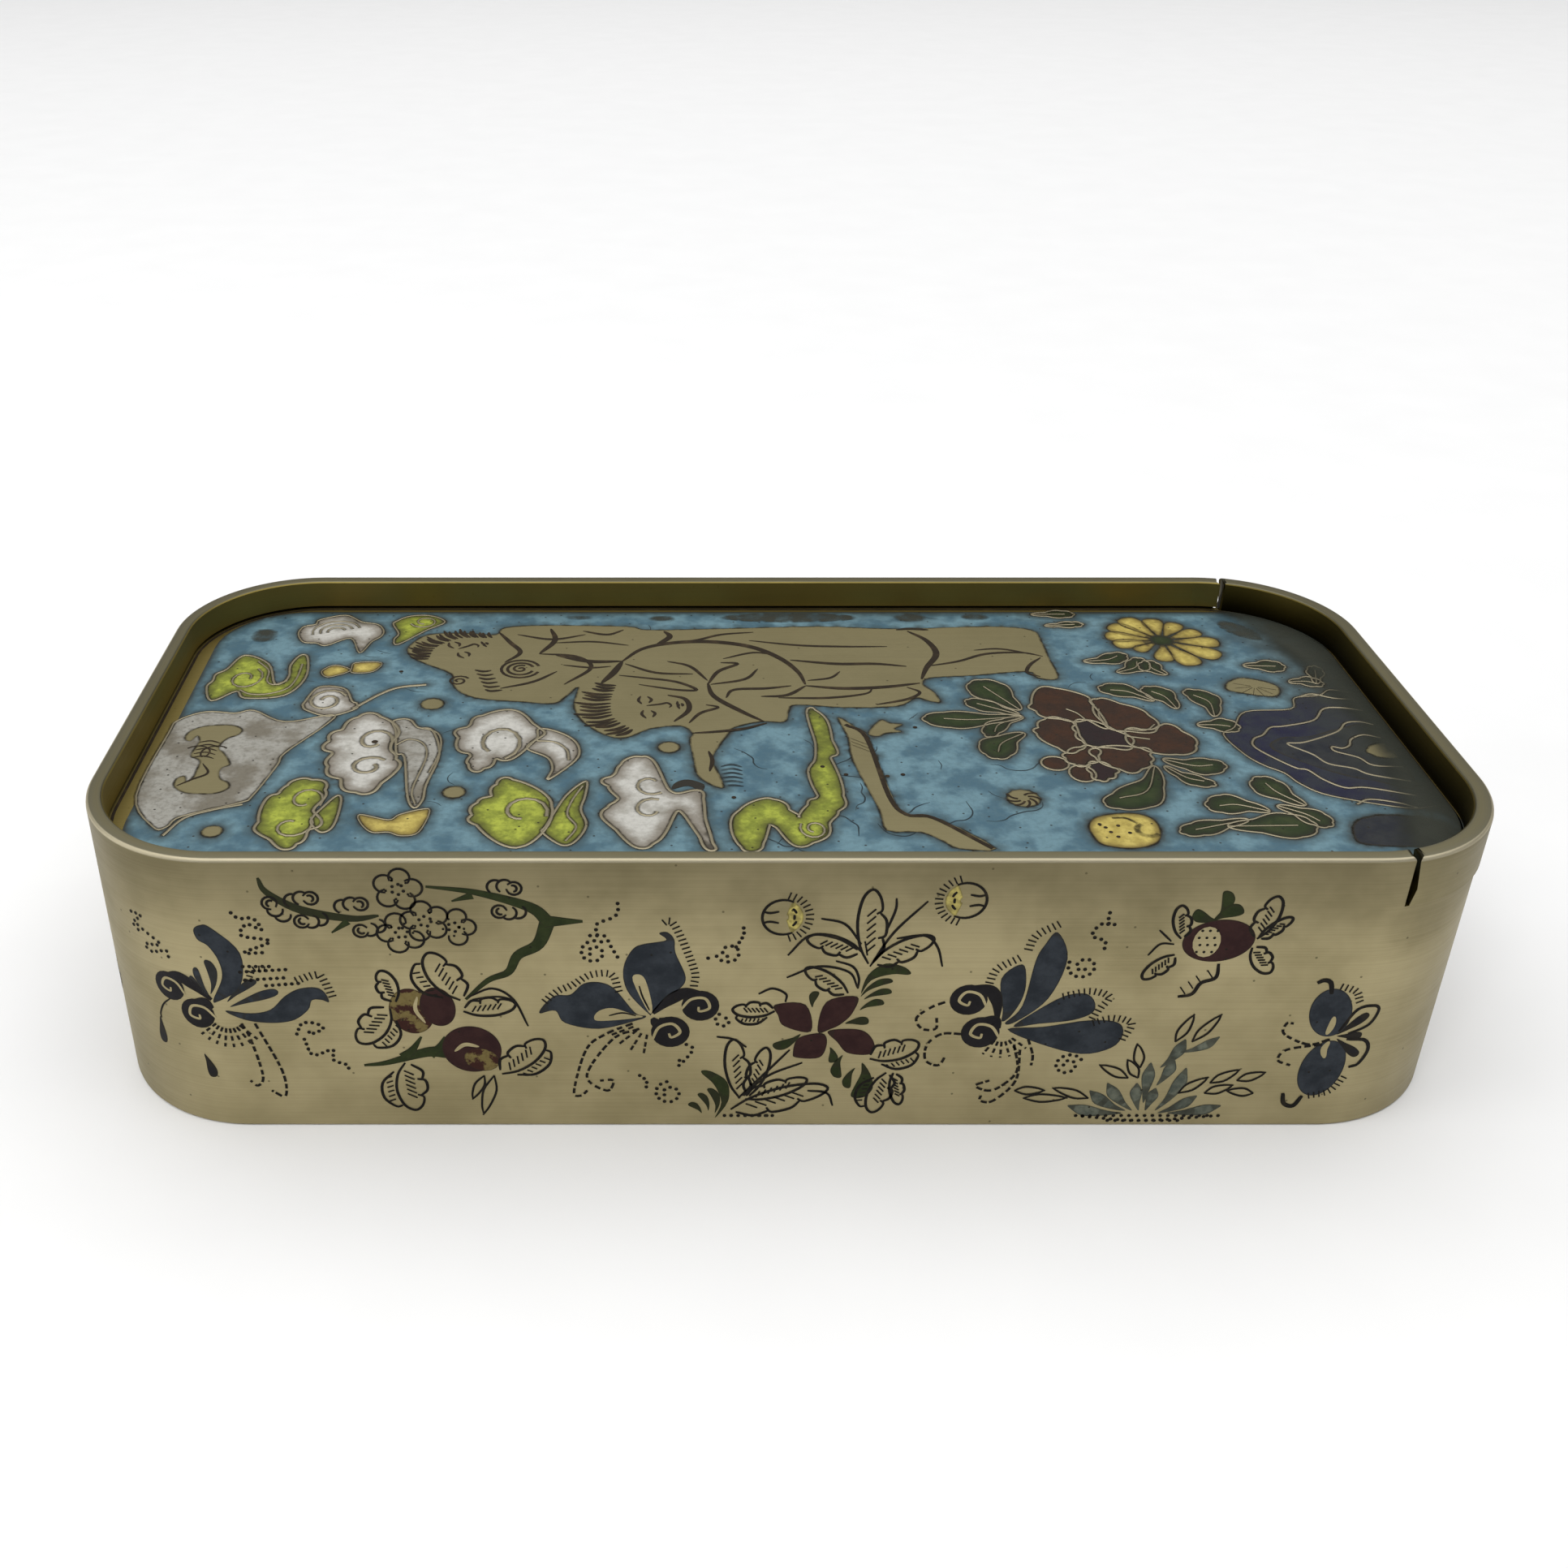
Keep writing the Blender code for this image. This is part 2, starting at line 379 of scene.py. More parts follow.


# %% [markdown]
# ## The brass of the box
# On the real box a strip of brass was bent round and soldered to a flat bottom. The imported model has
# the same form, but with few faces. Here the wall's section, that is its outline when cut through, is
# carried round the plan in fine steps, so that the corners shine without facets. Each point also
# keeps its walk round the box and its walk along the section, because the brushing follows both, and
# one value for wear, dirt and painted light: -1 on the rubbed edge, which also gets a painted highlight,
# 0 outside, 1 inside the rim, where dirt browns it, and 2 in the groove or cut, which are painted almost
# black as painted shade. The two ends of the strip meet in the middle of the back.

# %% A section carried round the plan
ROUND_STEPS = 4
RIM_INNER_SHADE = 1.65          # the rim's flat top is painted darker inwards from its rubbed outer edge, a painted shade
RUBBED_HIGHLIGHT = [-0.2, -0.8, -1.0, -0.7, 0.25]  # worn edge and painted highlight up the rounded edge, one value for each point


def quarter(inset, height, radius, rising):
    """The rounded outer edge of the rim (rising) or of the underside, from low to high."""
    points = []
    for step in range(ROUND_STEPS + 1):
        a = math.pi / 2 * step / ROUND_STEPS
        if rising:
            points.append((inset + radius * (1 - math.cos(a)), height - radius * (1 - math.sin(a))))
        else:
            points.append((inset + radius * (1 - math.sin(a)), height + radius * (1 - math.cos(a))))
    return points


def stations(start, end):
    """Walks from start to end, fine in the corners and at every place where a corner begins."""
    marks, turn_steps, tiny = [start, end], 28, 1e-6
    for lap in (0, 1):
        place = lap * ROUND_TRIP + RUN
        for straight in (2 * END, 2 * RUN, 2 * END, 2 * RUN):
            marks += [place + TURN * k / turn_steps for k in range(turn_steps + 1)]
            place += TURN + straight
    return sorted({round(m, 5) for m in marks if start - tiny <= m <= end + tiny})


def cut_shift(height):
    """How the rim's corners round away from the cut near the top."""
    into = height - (HEIGHT - RIM_BEND)
    return 0.0 if into <= 0 else RIM_BEND - math.sqrt(max(RIM_BEND ** 2 - into ** 2, 0.0))


def pinned(walk, inset, x):
    """The point of the right corners' arc at that x, on the front or back as the walk says."""
    point, _ = on_plan(walk, inset)
    reach = math.sqrt((CORNER - inset) ** 2 - (x - RUN) ** 2)
    return Vector((x, math.copysign(END + reach, point.y)))


class Skin:
    """A mesh made of sections, in millimetres."""

    def __init__(self, name):
        self.name = name
        self.points, self.faces, self.runs, self.places, self.shelter_and_shade = [], [], [], [], []
        self.reach = 0.0

    def point(self, x, y, z, walk, along):
        self.points.append((x, y, z))
        self.runs.append((walk, along, 0.0))
        return len(self.points) - 1

    def face(self, corners, places, shelter_and_shade):
        self.faces.append(tuple(corners))
        self.places += places
        self.shelter_and_shade += shelter_and_shade

    def sweep(self, walks, section, cut=None, shelter_and_shade=0.0, begin=0.0):
        """Carries the section round. cut gives the x of both ends at each height, the wear, dirt and
        painted light value is one number or one for each point of the section, and begin is the walk along
        the section so far."""
        if not isinstance(shelter_and_shade, (list, tuple)):
            shelter_and_shade = [shelter_and_shade] * len(section)
        along = [begin]
        for (i1, z1), (i2, z2) in zip(section, section[1:]):
            along.append(along[-1] + math.hypot(i2 - i1, z2 - z1))
        rows = []
        for k, walk in enumerate(walks):
            at_end = k in (0, len(walks) - 1) and cut is not None
            row = []
            for (inset, z), run in zip(section, along):
                place = pinned(walk, inset, cut(z)) if at_end else on_plan(walk, inset)[0]
                row.append(self.point(place.x, place.y, z, walk, run))
            rows.append(row)
        self.reach = along[-1]
        for a, b in zip(rows, rows[1:]):
            past_back = self.runs[a[0]][0] + self.runs[b[0]][0] > ROUND_TRIP
            lap = ROUND_TRIP if past_back else 0.0
            for j in range(len(section) - 1):
                corners = (a[j], b[j], b[j + 1], a[j + 1])
                places = [(self.runs[c][0] - lap, self.runs[c][1], 0.0) for c in corners]
                self.face(corners, places, [shelter_and_shade[j], shelter_and_shade[j], shelter_and_shade[j + 1], shelter_and_shade[j + 1]])
        return rows

    def cap(self, ring, flip=False, shelter_and_shade=0.0):
        """Closes a ring. Its brushing runs along the box."""
        corners = ring[::-1] if flip else ring
        self.face(corners, [(self.points[c][0], self.points[c][1], 0.0) for c in corners],
            [shelter_and_shade] * len(corners))

    def mesh_object(self, finish, body, node):
        sharp, tiny = 28, 1e-6       # an edge of more degrees than this stays sharp
        mesh = bpy.data.meshes.new(self.name)
        mesh.from_pydata([Vector(p) * MM for p in self.points], [], self.faces)
        place = mesh.attributes.new("place", "FLOAT_VECTOR", "CORNER")
        place.data.foreach_set("vector", np.array(self.places, np.float32).ravel())
        sheltered_and_shaded = mesh.attributes.new("sheltered_and_shaded", "FLOAT", "CORNER")
        sheltered_and_shaded.data.foreach_set("value", np.array(self.shelter_and_shade, np.float32))
        work = bmesh.new()
        work.from_mesh(mesh)
        bmesh.ops.remove_doubles(work, verts=work.verts, dist=tiny)
        bmesh.ops.recalc_face_normals(work, faces=work.faces)
        work.to_mesh(mesh)
        work.free()
        mesh.materials.append(finish)
        mesh.shade_smooth()
        mesh.set_sharp_from_angle(angle=math.radians(sharp))
        made = bpy.data.objects.new(self.name, mesh)
        bpy.context.scene.collection.objects.link(made)
        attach(made, body)
        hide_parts(node)
        print(f"{self.name}: {len(mesh.vertices)} points, {len(mesh.polygons)} faces")
        return made


# %% [markdown]
# The box itself: a rounded foot, the outer skin, the rim with its small chamfer inside, the groove
# that the lid runs in, and the inner wall down to the floor. The rim and groove stop at the cut near
# the right end, where a flat ledge carries the lid's end cap.

# %% The box body
def box_skin(finish):
    skin = Skin("box_walls")
    whole_trip = stations(0.0, ROUND_TRIP)
    cut_walk = RUN + CORNER * math.asin((CUT_X - RUN) / CORNER)
    rim_walks = stations(ROUND_TRIP / 2 - cut_walk, ROUND_TRIP + cut_walk)
    end_walks = stations(cut_walk, ROUND_TRIP / 2 - cut_walk)

    outside = quarter(SKIN, 0.0, FOOT_ROUND, rising=False) + [(SKIN, GROOVE_FLOOR)]
    rows = skin.sweep(whole_trip, outside)
    skin.cap([row[0] for row in rows[:-1]], flip=True)

    rim = [(SKIN, GROOVE_FLOOR), (SKIN, HEIGHT - RIM_BEND)]
    rim += quarter(SKIN, HEIGHT, RIM_ROUND, rising=True)
    rim += [(WALL - CHAMFER, HEIGHT), (WALL, HEIGHT - CHAMFER), (WALL, GROOVE_ROOF)]
    rim += [(GROOVE_INSET, GROOVE_ROOF), (GROOVE_INSET, GROOVE_FLOOR)]
    # The rim's rubbed edge gets a painted highlight; its flat top is painted darker inwards, and the groove
    # and the cut's faces almost black: painted shade.
    shelter_and_shade = [0.0, 0.0] + RUBBED_HIGHLIGHT + [RIM_INNER_SHADE, 0.9, 1.1, 2.0, 2.0]
    rows = skin.sweep(rim_walks, rim, cut=lambda z: CUT_X - cut_shift(z), shelter_and_shade=shelter_and_shade,
                      begin=skin.reach)
    skin.cap(rows[0], shelter_and_shade=1.7)
    skin.cap(rows[-1], flip=True, shelter_and_shade=1.7)
    groove = [(GROOVE_INSET, GROOVE_FLOOR), (WALL, GROOVE_FLOOR)]
    skin.sweep(rim_walks, groove, cut=lambda z: CUT_X, shelter_and_shade=1.8)
    ledge = [(SKIN, GROOVE_FLOOR), (WALL, GROOVE_FLOOR)]
    skin.sweep(end_walks, ledge, cut=lambda z: CUT_X, shelter_and_shade=1.2)

    rows = skin.sweep(whole_trip, [(WALL, GROOVE_FLOOR), (WALL, FLOOR)], shelter_and_shade=0.7)
    skin.cap([row[-1] for row in rows[:-1]], shelter_and_shade=0.7)
    return skin.mesh_object(finish, "box", "box_body")


# %% [markdown]
# The lid is a plate whose edge runs in the groove. At its right end it carries the last stretch of
# the rim, so that the rim looks whole when the box is shut. The cut between the two has worn wider
# just above the plate, which gives the dark wedge in the front right corner.

# %% The sliding lid
def cap_start(height):
    """The x of the end cap's cut face at a height."""
    for (low, near), (high, far) in zip(CUT_WIDTHS, CUT_WIDTHS[1:]):
        if height <= high:
            return CUT_X + near + (far - near) * (height - low) / (high - low) + cut_shift(height)
    return CUT_X + CUT_WIDTHS[-1][1] + cut_shift(height)


def lid_skin(finish):
    skin = Skin("lid_plate")
    edge = [(LID_INSET, LID_UNDERSIDE), (LID_INSET, LID_TOP)]
    plate = skin.sweep(stations(0.0, ROUND_TRIP), edge, shelter_and_shade=1.2)
    skin.cap([row[0] for row in plate[:-1]], flip=True, shelter_and_shade=0.6)
    skin.cap([row[1] for row in plate[:-1]], shelter_and_shade=0.75)

    cut_walk = RUN + CORNER * math.asin((CUT_X + CUT_WIDTHS[-1][1] - RUN) / CORNER)
    end_walks = stations(cut_walk, ROUND_TRIP / 2 - cut_walk)
    outer = -CAP_PROUD
    cap = [(WALL, LID_UNDERSIDE), (outer, LID_UNDERSIDE), (outer, LID_UNDERSIDE + STEP)]
    cap += [(outer, LID_TOP + STEP), (outer, HEIGHT - RIM_BEND)]
    cap += quarter(outer, HEIGHT, RIM_ROUND, rising=True)
    cap += [(WALL - CHAMFER, HEIGHT), (WALL, HEIGHT - CHAMFER), (WALL, LID_TOP + STEP)]
    cap += [(WALL, LID_UNDERSIDE)]
    # The cap's rubbed edge gets a painted highlight; its flat top is painted darker inwards, and its inner
    # face and cut faces almost black: painted shade.
    shelter_and_shade = [0.0] * 5 + RUBBED_HIGHLIGHT + [RIM_INNER_SHADE, 1.6, 1.86, 1.86]
    rows = skin.sweep(end_walks, cap, cut=cap_start, shelter_and_shade=shelter_and_shade, begin=LID_UNDERSIDE)
    skin.cap(rows[0][:-1], shelter_and_shade=1.7)
    skin.cap(rows[-1][:-1], flip=True, shelter_and_shade=1.7)
    return skin.mesh_object(finish, "lid", "sliding_lid")


# %% [markdown]
# ## Building finishes from nodes
# A finish is a Principled shader fed by masks and colours. The masks that several finishes share,
# such as blotches, pits and brushing, are node groups, built once. Short helpers keep the building
# readable: one adds a node with its values, one joins two sockets, and the others make the nodes that
# are used most.

# %% Node helpers
def feed(tree, socket, value):
    """Joins another node's output to a socket, or sets a plain value on it."""
    if hasattr(value, "is_output"):
        tree.links.new(value, socket)
    else:
        socket.default_value = value


def add(tree, kind, values=None, **settings):
    """Adds a node. settings are its own options; values are its inputs, by name or number."""
    made = tree.nodes.new(kind)
    for name, value in settings.items():
        setattr(made, name, value)
    for name, value in (values or {}).items():
        feed(tree, made.inputs[name], value)
    return made


def maths(tree, operation, a, b=0.0, c=0.0):
    return add(tree, "ShaderNodeMath", {0: a, 1: b, 2: c}, operation=operation).outputs[0]


def times(tree, a, b):
    return maths(tree, "MULTIPLY", a, b)


def mix(tree, share, a, b):
    """Mixes two colours by a share."""
    made = add(tree, "ShaderNodeMix", {"Factor": share}, data_type="RGBA")
    for socket, value in ((made.inputs[6], a), (made.inputs[7], b)):
        feed(tree, socket, value if hasattr(value, "is_output") else (*value, 1.0))
    return made.outputs[2]


def ramp(tree, value, low, high):
    """0 before low, 1 past high, and smooth between."""
    made = add(tree, "ShaderNodeMapRange", {"Value": value, "From Min": low, "From Max": high},
               interpolation_type="SMOOTHSTEP")
    return made.outputs["Result"]


def noise(tree, place, scale, detail=3.0, roughness=0.5):
    values = {"Vector": place, "Scale": scale, "Detail": detail, "Roughness": roughness}
    return add(tree, "ShaderNodeTexNoise", values).outputs[0]


def scaled(colour, share):
    """The colour made darker, or lighter by a share above 1."""
    return [share * c for c in colour]


def new_group(name, inputs, outputs):
    """A node group with its sockets made. inputs are (name, kind, value)."""
    tree = bpy.data.node_groups.new(name, "ShaderNodeTree")
    for label, kind, value in inputs:
        socket = tree.interface.new_socket(name=label, in_out="INPUT", socket_type=kind)
        if value is not None:
            socket.default_value = value
    for label, kind in outputs:
        tree.interface.new_socket(name=label, in_out="OUTPUT", socket_type=kind)
    return tree, tree.nodes.new("NodeGroupInput"), tree.nodes.new("NodeGroupOutput")


def use(tree, group, values):
    return add(tree, "ShaderNodeGroup", values, node_tree=group).outputs


def new_finish(name, **plain):
    """A material with a Principled shader, and the values that are the same all over set on it."""
    made = bpy.data.materials.new(name)
    made.use_nodes = True
    tree = made.node_tree
    shader = tree.nodes["Principled BSDF"]
    for label, value in plain.items():
        shader.inputs[label.replace("_", " ")].default_value = value
    return made, tree, shader


def place_on_surface(tree):
    """The flat place in millimetres that each mesh keeps."""
    return add(tree, "ShaderNodeAttribute", attribute_name="place").outputs["Vector"]


# %% [markdown]
# The shared masks. Blotches are two sizes of soft noise, for tarnish and uneven glass. Brushing is
# noise that is stretched a long way along the wall and very little across it, like the scratches
# that a cloth with grit leaves. Pits are the pinholes that gas bubbles leave in fired enamel.

# %% Blotches, brushing and pits
VECTOR, FLOAT = "NodeSocketVector", "NodeSocketFloat"


def make_blotches():
    tree, given, out = new_group("Blotches", [("Place", VECTOR, None), ("Size", FLOAT, 10.0),
                                              ("Low", FLOAT, 0.4), ("High", FLOAT, 0.65)],
                                 [("Mask", FLOAT)])
    scale = maths(tree, "DIVIDE", 1.0, given.outputs["Size"])
    broad = noise(tree, given.outputs["Place"], scale, 4.0, 0.6)
    mask = ramp(tree, broad, given.outputs["Low"], given.outputs["High"])
    tree.links.new(mask, out.inputs["Mask"])
    return tree


def make_brushing():
    tree, given, out = new_group("Brushing", [("Place", VECTOR, None), ("Length", FLOAT, 25.0),
                                              ("Width", FLOAT, 0.35)], [("Height", FLOAT)])
    parts = add(tree, "ShaderNodeSeparateXYZ", {0: given.outputs["Place"]})
    along = maths(tree, "DIVIDE", parts.outputs["X"], given.outputs["Length"])
    across = maths(tree, "DIVIDE", parts.outputs["Y"], given.outputs["Width"])
    where = add(tree, "ShaderNodeCombineXYZ", {"X": along, "Y": across}).outputs[0]
    tree.links.new(noise(tree, where, 1.0, 3.0, 0.65), out.inputs["Height"])
    return tree


def make_pits():
    tree, given, out = new_group("Pits", [("Place", VECTOR, None), ("Spacing", FLOAT, 3.0),
                                          ("Radius", FLOAT, 0.08)], [("Mask", FLOAT)])
    soft_edge, left_out = 1.6, 0.55      # share of the radius, and share of the pits that are skipped
    scale = maths(tree, "DIVIDE", 1.0, given.outputs["Spacing"])
    cells = add(tree, "ShaderNodeTexVoronoi", {"Vector": given.outputs["Place"], "Scale": scale,
                                               "Randomness": 1.0}, voronoi_dimensions="2D")
    far = times(tree, given.outputs["Radius"], soft_edge)
    hole = ramp(tree, cells.outputs["Distance"], far, given.outputs["Radius"])
    keep = add(tree, "ShaderNodeSeparateColor", {0: cells.outputs["Color"]}).outputs[0]
    some = maths(tree, "GREATER_THAN", keep, left_out)
    tree.links.new(times(tree, hole, some), out.inputs["Mask"])
    return tree


BLOTCHES, BRUSHING, PITS = make_blotches(), make_brushing(), make_pits()

# %% [markdown]
# Old brass isn't golden. Its surface has turned a greenish khaki, and is brushed along the length
# of the box, so that it throws long soft reflections. Two tones of brass are mixed by blotches and
# by the brushing, and the brushing also makes it rough in one direction.

# %% Aged brass
# Brown dirt of the hollows. Made almost black, it is the painted shade of the groove, the cut, the cap's
# inner face and the rim's inner edge.
DIRT_AND_SHADE = (0.27, 0.205, 0.040)
# The rubbed edge is worn bright, and its colour is painted brighter still as a painted highlight.
RUBBED_HIGHLIGHT_COLOUR = (0.50, 0.45, 0.32)
RIM_TOP_GREY = (0.165, 0.155, 0.108)
TOP_SHADE, END_SHADE, RIM_TOP_GREY_SHARE = 0.75, 0.5, 0.8   # shares of painted shade towards the top and the ends, and of grey on the rim's flat top
TOP_RANGE = (0.030, 0.052)           # heights in metres between which the walls are painted darker, a painted shade
END_RANGE = (0.085, 0.105)           # the same painted shade, from the middle towards both ends
FLAT_RANGE = (0.0488, 0.0489)        # only the rim's flat top lies above this


def aged_brass(name, fresh, dull, brushed=1.0, rough=0.46, painted_shade=1.0):
    finish, tree, shader = new_finish(name, Metallic=1.0)
    place = place_on_surface(tree)
    tarnish = use(tree, BLOTCHES, {"Place": place, "Size": 22.0, "Low": 0.35, "High": 0.7})["Mask"]
    brush = use(tree, BRUSHING, {"Place": place, "Length": 40.0, "Width": 0.3})["Height"]
    coarse = use(tree, BRUSHING, {"Place": place, "Length": 90.0, "Width": 1.6})["Height"]
    specks = use(tree, PITS, {"Place": place, "Spacing": 7.0, "Radius": 0.02})["Mask"]
    toned = mix(tree, tarnish, fresh, dull)
    lines = ramp(tree, brush, 0.30, 0.72)
    toned = mix(tree, times(tree, lines, 0.12 * brushed), toned, scaled(dull, 0.72))
    toned = mix(tree, times(tree, ramp(tree, coarse, 0.5, 0.75), 0.14), toned, scaled(fresh, 1.2))
    where = add(tree, "ShaderNodeSeparateXYZ", {0: add(tree, "ShaderNodeTexCoord").outputs["Object"]})
    # The walls are painted darker towards the top and towards both ends, a painted shade.
    top = ramp(tree, maths(tree, "MULTIPLY_ADD", tarnish, 0.004, where.outputs["Z"]), *TOP_RANGE)
    toned = mix(tree, times(tree, top, TOP_SHADE * painted_shade), toned, scaled(dull, 0.45))
    ends = ramp(tree, maths(tree, "ABSOLUTE", where.outputs["X"]), *END_RANGE)
    toned = mix(tree, times(tree, ends, END_SHADE * painted_shade), toned, scaled(dull, 0.45))
    toned = mix(tree, times(tree, specks, 0.7), toned, scaled(dull, 0.25))
    sheltered_and_shaded = add(tree, "ShaderNodeAttribute", attribute_name="sheltered_and_shaded").outputs["Fac"]
    # Dirt browns the hollows, and the groove, the cut and the rim's inner edge are painted almost black:
    # painted shade.
    toned = mix(tree, times(tree, ramp(tree, sheltered_and_shaded, 0.0, 1.2), 0.8), toned, DIRT_AND_SHADE)
    toned = mix(tree, ramp(tree, sheltered_and_shaded, 1.25, 1.9), toned, scaled(DIRT_AND_SHADE, 0.03))
    # The rim's flat top is painted a darker grey.
    flat = ramp(tree, where.outputs["Z"], *FLAT_RANGE)
    toned = mix(tree, times(tree, flat, RIM_TOP_GREY_SHARE), toned, RIM_TOP_GREY)
    # The rubbed edge: real wear, painted brighter as a painted highlight.
    rubbed = ramp(tree, times(tree, sheltered_and_shaded, -1.0), 0.1, 0.9)
    toned = mix(tree, rubbed, toned, RUBBED_HIGHLIGHT_COLOUR)
    tree.links.new(toned, shader.inputs["Base Color"])
    patchy = maths(tree, "MULTIPLY_ADD", tarnish, 0.08, rough)
    patchy = maths(tree, "MULTIPLY_ADD", rubbed, 0.05, patchy)
    tree.links.new(maths(tree, "MULTIPLY_ADD", lines, 0.08, patchy), shader.inputs["Roughness"])
    relief = add(tree, "ShaderNodeBump", {"Height": brush, "Strength": 0.18 * brushed, "Distance": 0.00004})
    tree.links.new(relief.outputs["Normal"], shader.inputs["Normal"])
    return finish


box_brass = aged_brass("box brass, brushed and aged", (0.42, 0.36, 0.205), (0.345, 0.295, 0.16))
lid_brass = aged_brass("lid brass, rubbed dull", (0.40, 0.345, 0.185), (0.34, 0.29, 0.155), brushed=0.7)
box_walls = box_skin(box_brass)
lid_plate = lid_skin(lid_brass)

# %% [markdown]
# ## Enamel
# Enamel is ground glass melted in its cell. No two spots of it have quite the same thickness, so each
# colour is mottled, and after firing it was stoned flat, which leaves pinholes and a soft sheen rather
# than a hard gloss. Dirt has settled in the thin seam between glass and brass, so every finish here
# darkens towards the edge of its cell. The lid is painted greyer towards its far edge, and its right
# end is darkened by painted shade.

# %% Seam dirt, greying and painted shade
def tone(red, green, blue, gain=1.0):
    """A colour as a painter's chart gives it, 0 to 255, as the share of light that it sends back."""
    return tuple(gain * ((c / 255 + 0.055) / 1.055) ** 2.4 for c in (red, green, blue))


def make_seam_dirt():
    tree, given, out = new_group("Seam dirt", [("Place", VECTOR, None), ("Reach", FLOAT, 0.8)],
                                 [("Mask", FLOAT)])
    depth = add(tree, "ShaderNodeAttribute", attribute_name="depth").outputs["Fac"]
    uneven = noise(tree, given.outputs["Place"], 0.7)
    width = times(tree, given.outputs["Reach"], maths(tree, "ADD", uneven, 0.3))
    tree.links.new(ramp(tree, maths(tree, "DIVIDE", depth, width), 1.0, 0.1), out.inputs["Mask"])
    return tree


FAR_GREYING = (38.0, 52.0)      # millimetres between which the far edge turns greyer
RIGHT_SHADE = (84.0, 102.0)   # and between which the painted shade of the right end thickens
DRIFT = 26.0                 # how far its borders wander


def make_lid_greying_and_shade():
    """Greyer along the far edge, and painted shade deep in the right end, with wandering borders."""
    tree, given, out = new_group("Greying and painted shade on the lid", [("Place", VECTOR, None)], [("Mask", FLOAT)])
    parts = add(tree, "ShaderNodeSeparateXYZ", {0: given.outputs["Place"]})
    uneven = noise(tree, given.outputs["Place"], 0.11)
    drift = times(tree, maths(tree, "SUBTRACT", uneven, 0.5), DRIFT)
    back = ramp(tree, maths(tree, "ADD", parts.outputs["Y"], drift), *FAR_GREYING)
    slant = maths(tree, "MULTIPLY_ADD", parts.outputs["Y"], 0.12, parts.outputs["X"])
    right = ramp(tree, maths(tree, "MULTIPLY_ADD", drift, 0.6, slant), *RIGHT_SHADE)
    tree.links.new(maths(tree, "MAXIMUM", times(tree, back, 0.6), right), out.inputs["Mask"])
    return tree


SEAM_DIRT, LID_GREYING_AND_SHADE = make_seam_dirt(), make_lid_greying_and_shade()

# %% [markdown]
# One function mixes every enamel: two tones of the glass, cloudy blotches, fine mottling, pinholes,
# seam dirt and, on the lid, greying and painted shade. The pinholes and the mottling also dent the surface
# a little.

# %% The enamel finish
GRIME = tone(44, 40, 30)
# The grey of the lid's far edge, which is also the painted shade of its right end.
GREYING_AND_SHADE = tone(54, 57, 49, 0.78)
GLASS_ROUGH = 0.36           # fired glass that was stoned flat


def enamel(name, glass, clouded, cloud_size=6.0, clouds=(0.35, 0.65), mottle=0.35, grain=0.8,
           seam=0.9, seam_strength=0.75, edge=None, edge_reach=1.8, grey_and_shade_share=0.0, shine=0.5):
    finish, tree, shader = new_finish(name, Specular_IOR_Level=shine)
    place = place_on_surface(tree)
    low, high = clouds
    cloudy = use(tree, BLOTCHES, {"Place": place, "Size": cloud_size, "Low": low, "High": high})["Mask"]
    fine = use(tree, BLOTCHES, {"Place": place, "Size": grain, "Low": 0.40, "High": 0.75})["Mask"]
    pits = use(tree, PITS, {"Place": place, "Spacing": 4.0, "Radius": 0.035})["Mask"]
    dirt = use(tree, SEAM_DIRT, {"Place": place, "Reach": seam})["Mask"]
    colour = mix(tree, cloudy, glass, clouded)
    colour = mix(tree, times(tree, fine, mottle), colour, scaled(clouded, 0.62))
    if edge:
        shaded = use(tree, SEAM_DIRT, {"Place": place, "Reach": edge_reach})["Mask"]
        colour = mix(tree, times(tree, shaded, 0.85), colour, edge)
    # Greyer towards the lid's far edge, and painted shade deep in its right end.
    if grey_and_shade_share:
        dust = use(tree, LID_GREYING_AND_SHADE, {"Place": place})["Mask"]
        colour = mix(tree, times(tree, dust, grey_and_shade_share), colour, GREYING_AND_SHADE)
    colour = mix(tree, times(tree, dirt, seam_strength), colour, GRIME)
    colour = mix(tree, times(tree, pits, 0.85), colour, scaled(GRIME, 0.5))
    tree.links.new(colour, shader.inputs["Base Color"])
    worn = times(tree, maths(tree, "ADD", cloudy, dirt), 0.12)
    tree.links.new(maths(tree, "ADD", worn, GLASS_ROUGH), shader.inputs["Roughness"])
    height = maths(tree, "SUBTRACT", times(tree, fine, 0.4), pits)
    relief = add(tree, "ShaderNodeBump", {"Height": height, "Strength": 0.5, "Distance": 0.00003})
    tree.links.new(relief.outputs["Normal"], shader.inputs["Normal"])
    return finish


def engraver_paste(name, dark, worn_thin):
    """The dark paste that fills cut lines, worn thin in places."""
    finish, tree, shader = new_finish(name, Roughness=0.7, Specular_IOR_Level=0.15)
    place = place_on_surface(tree)
    worn = use(tree, BLOTCHES, {"Place": place, "Size": 2.5, "Low": 0.45, "High": 0.8})["Mask"]
    tree.links.new(mix(tree, worn, dark, worn_thin), shader.inputs["Base Color"])
    return finish


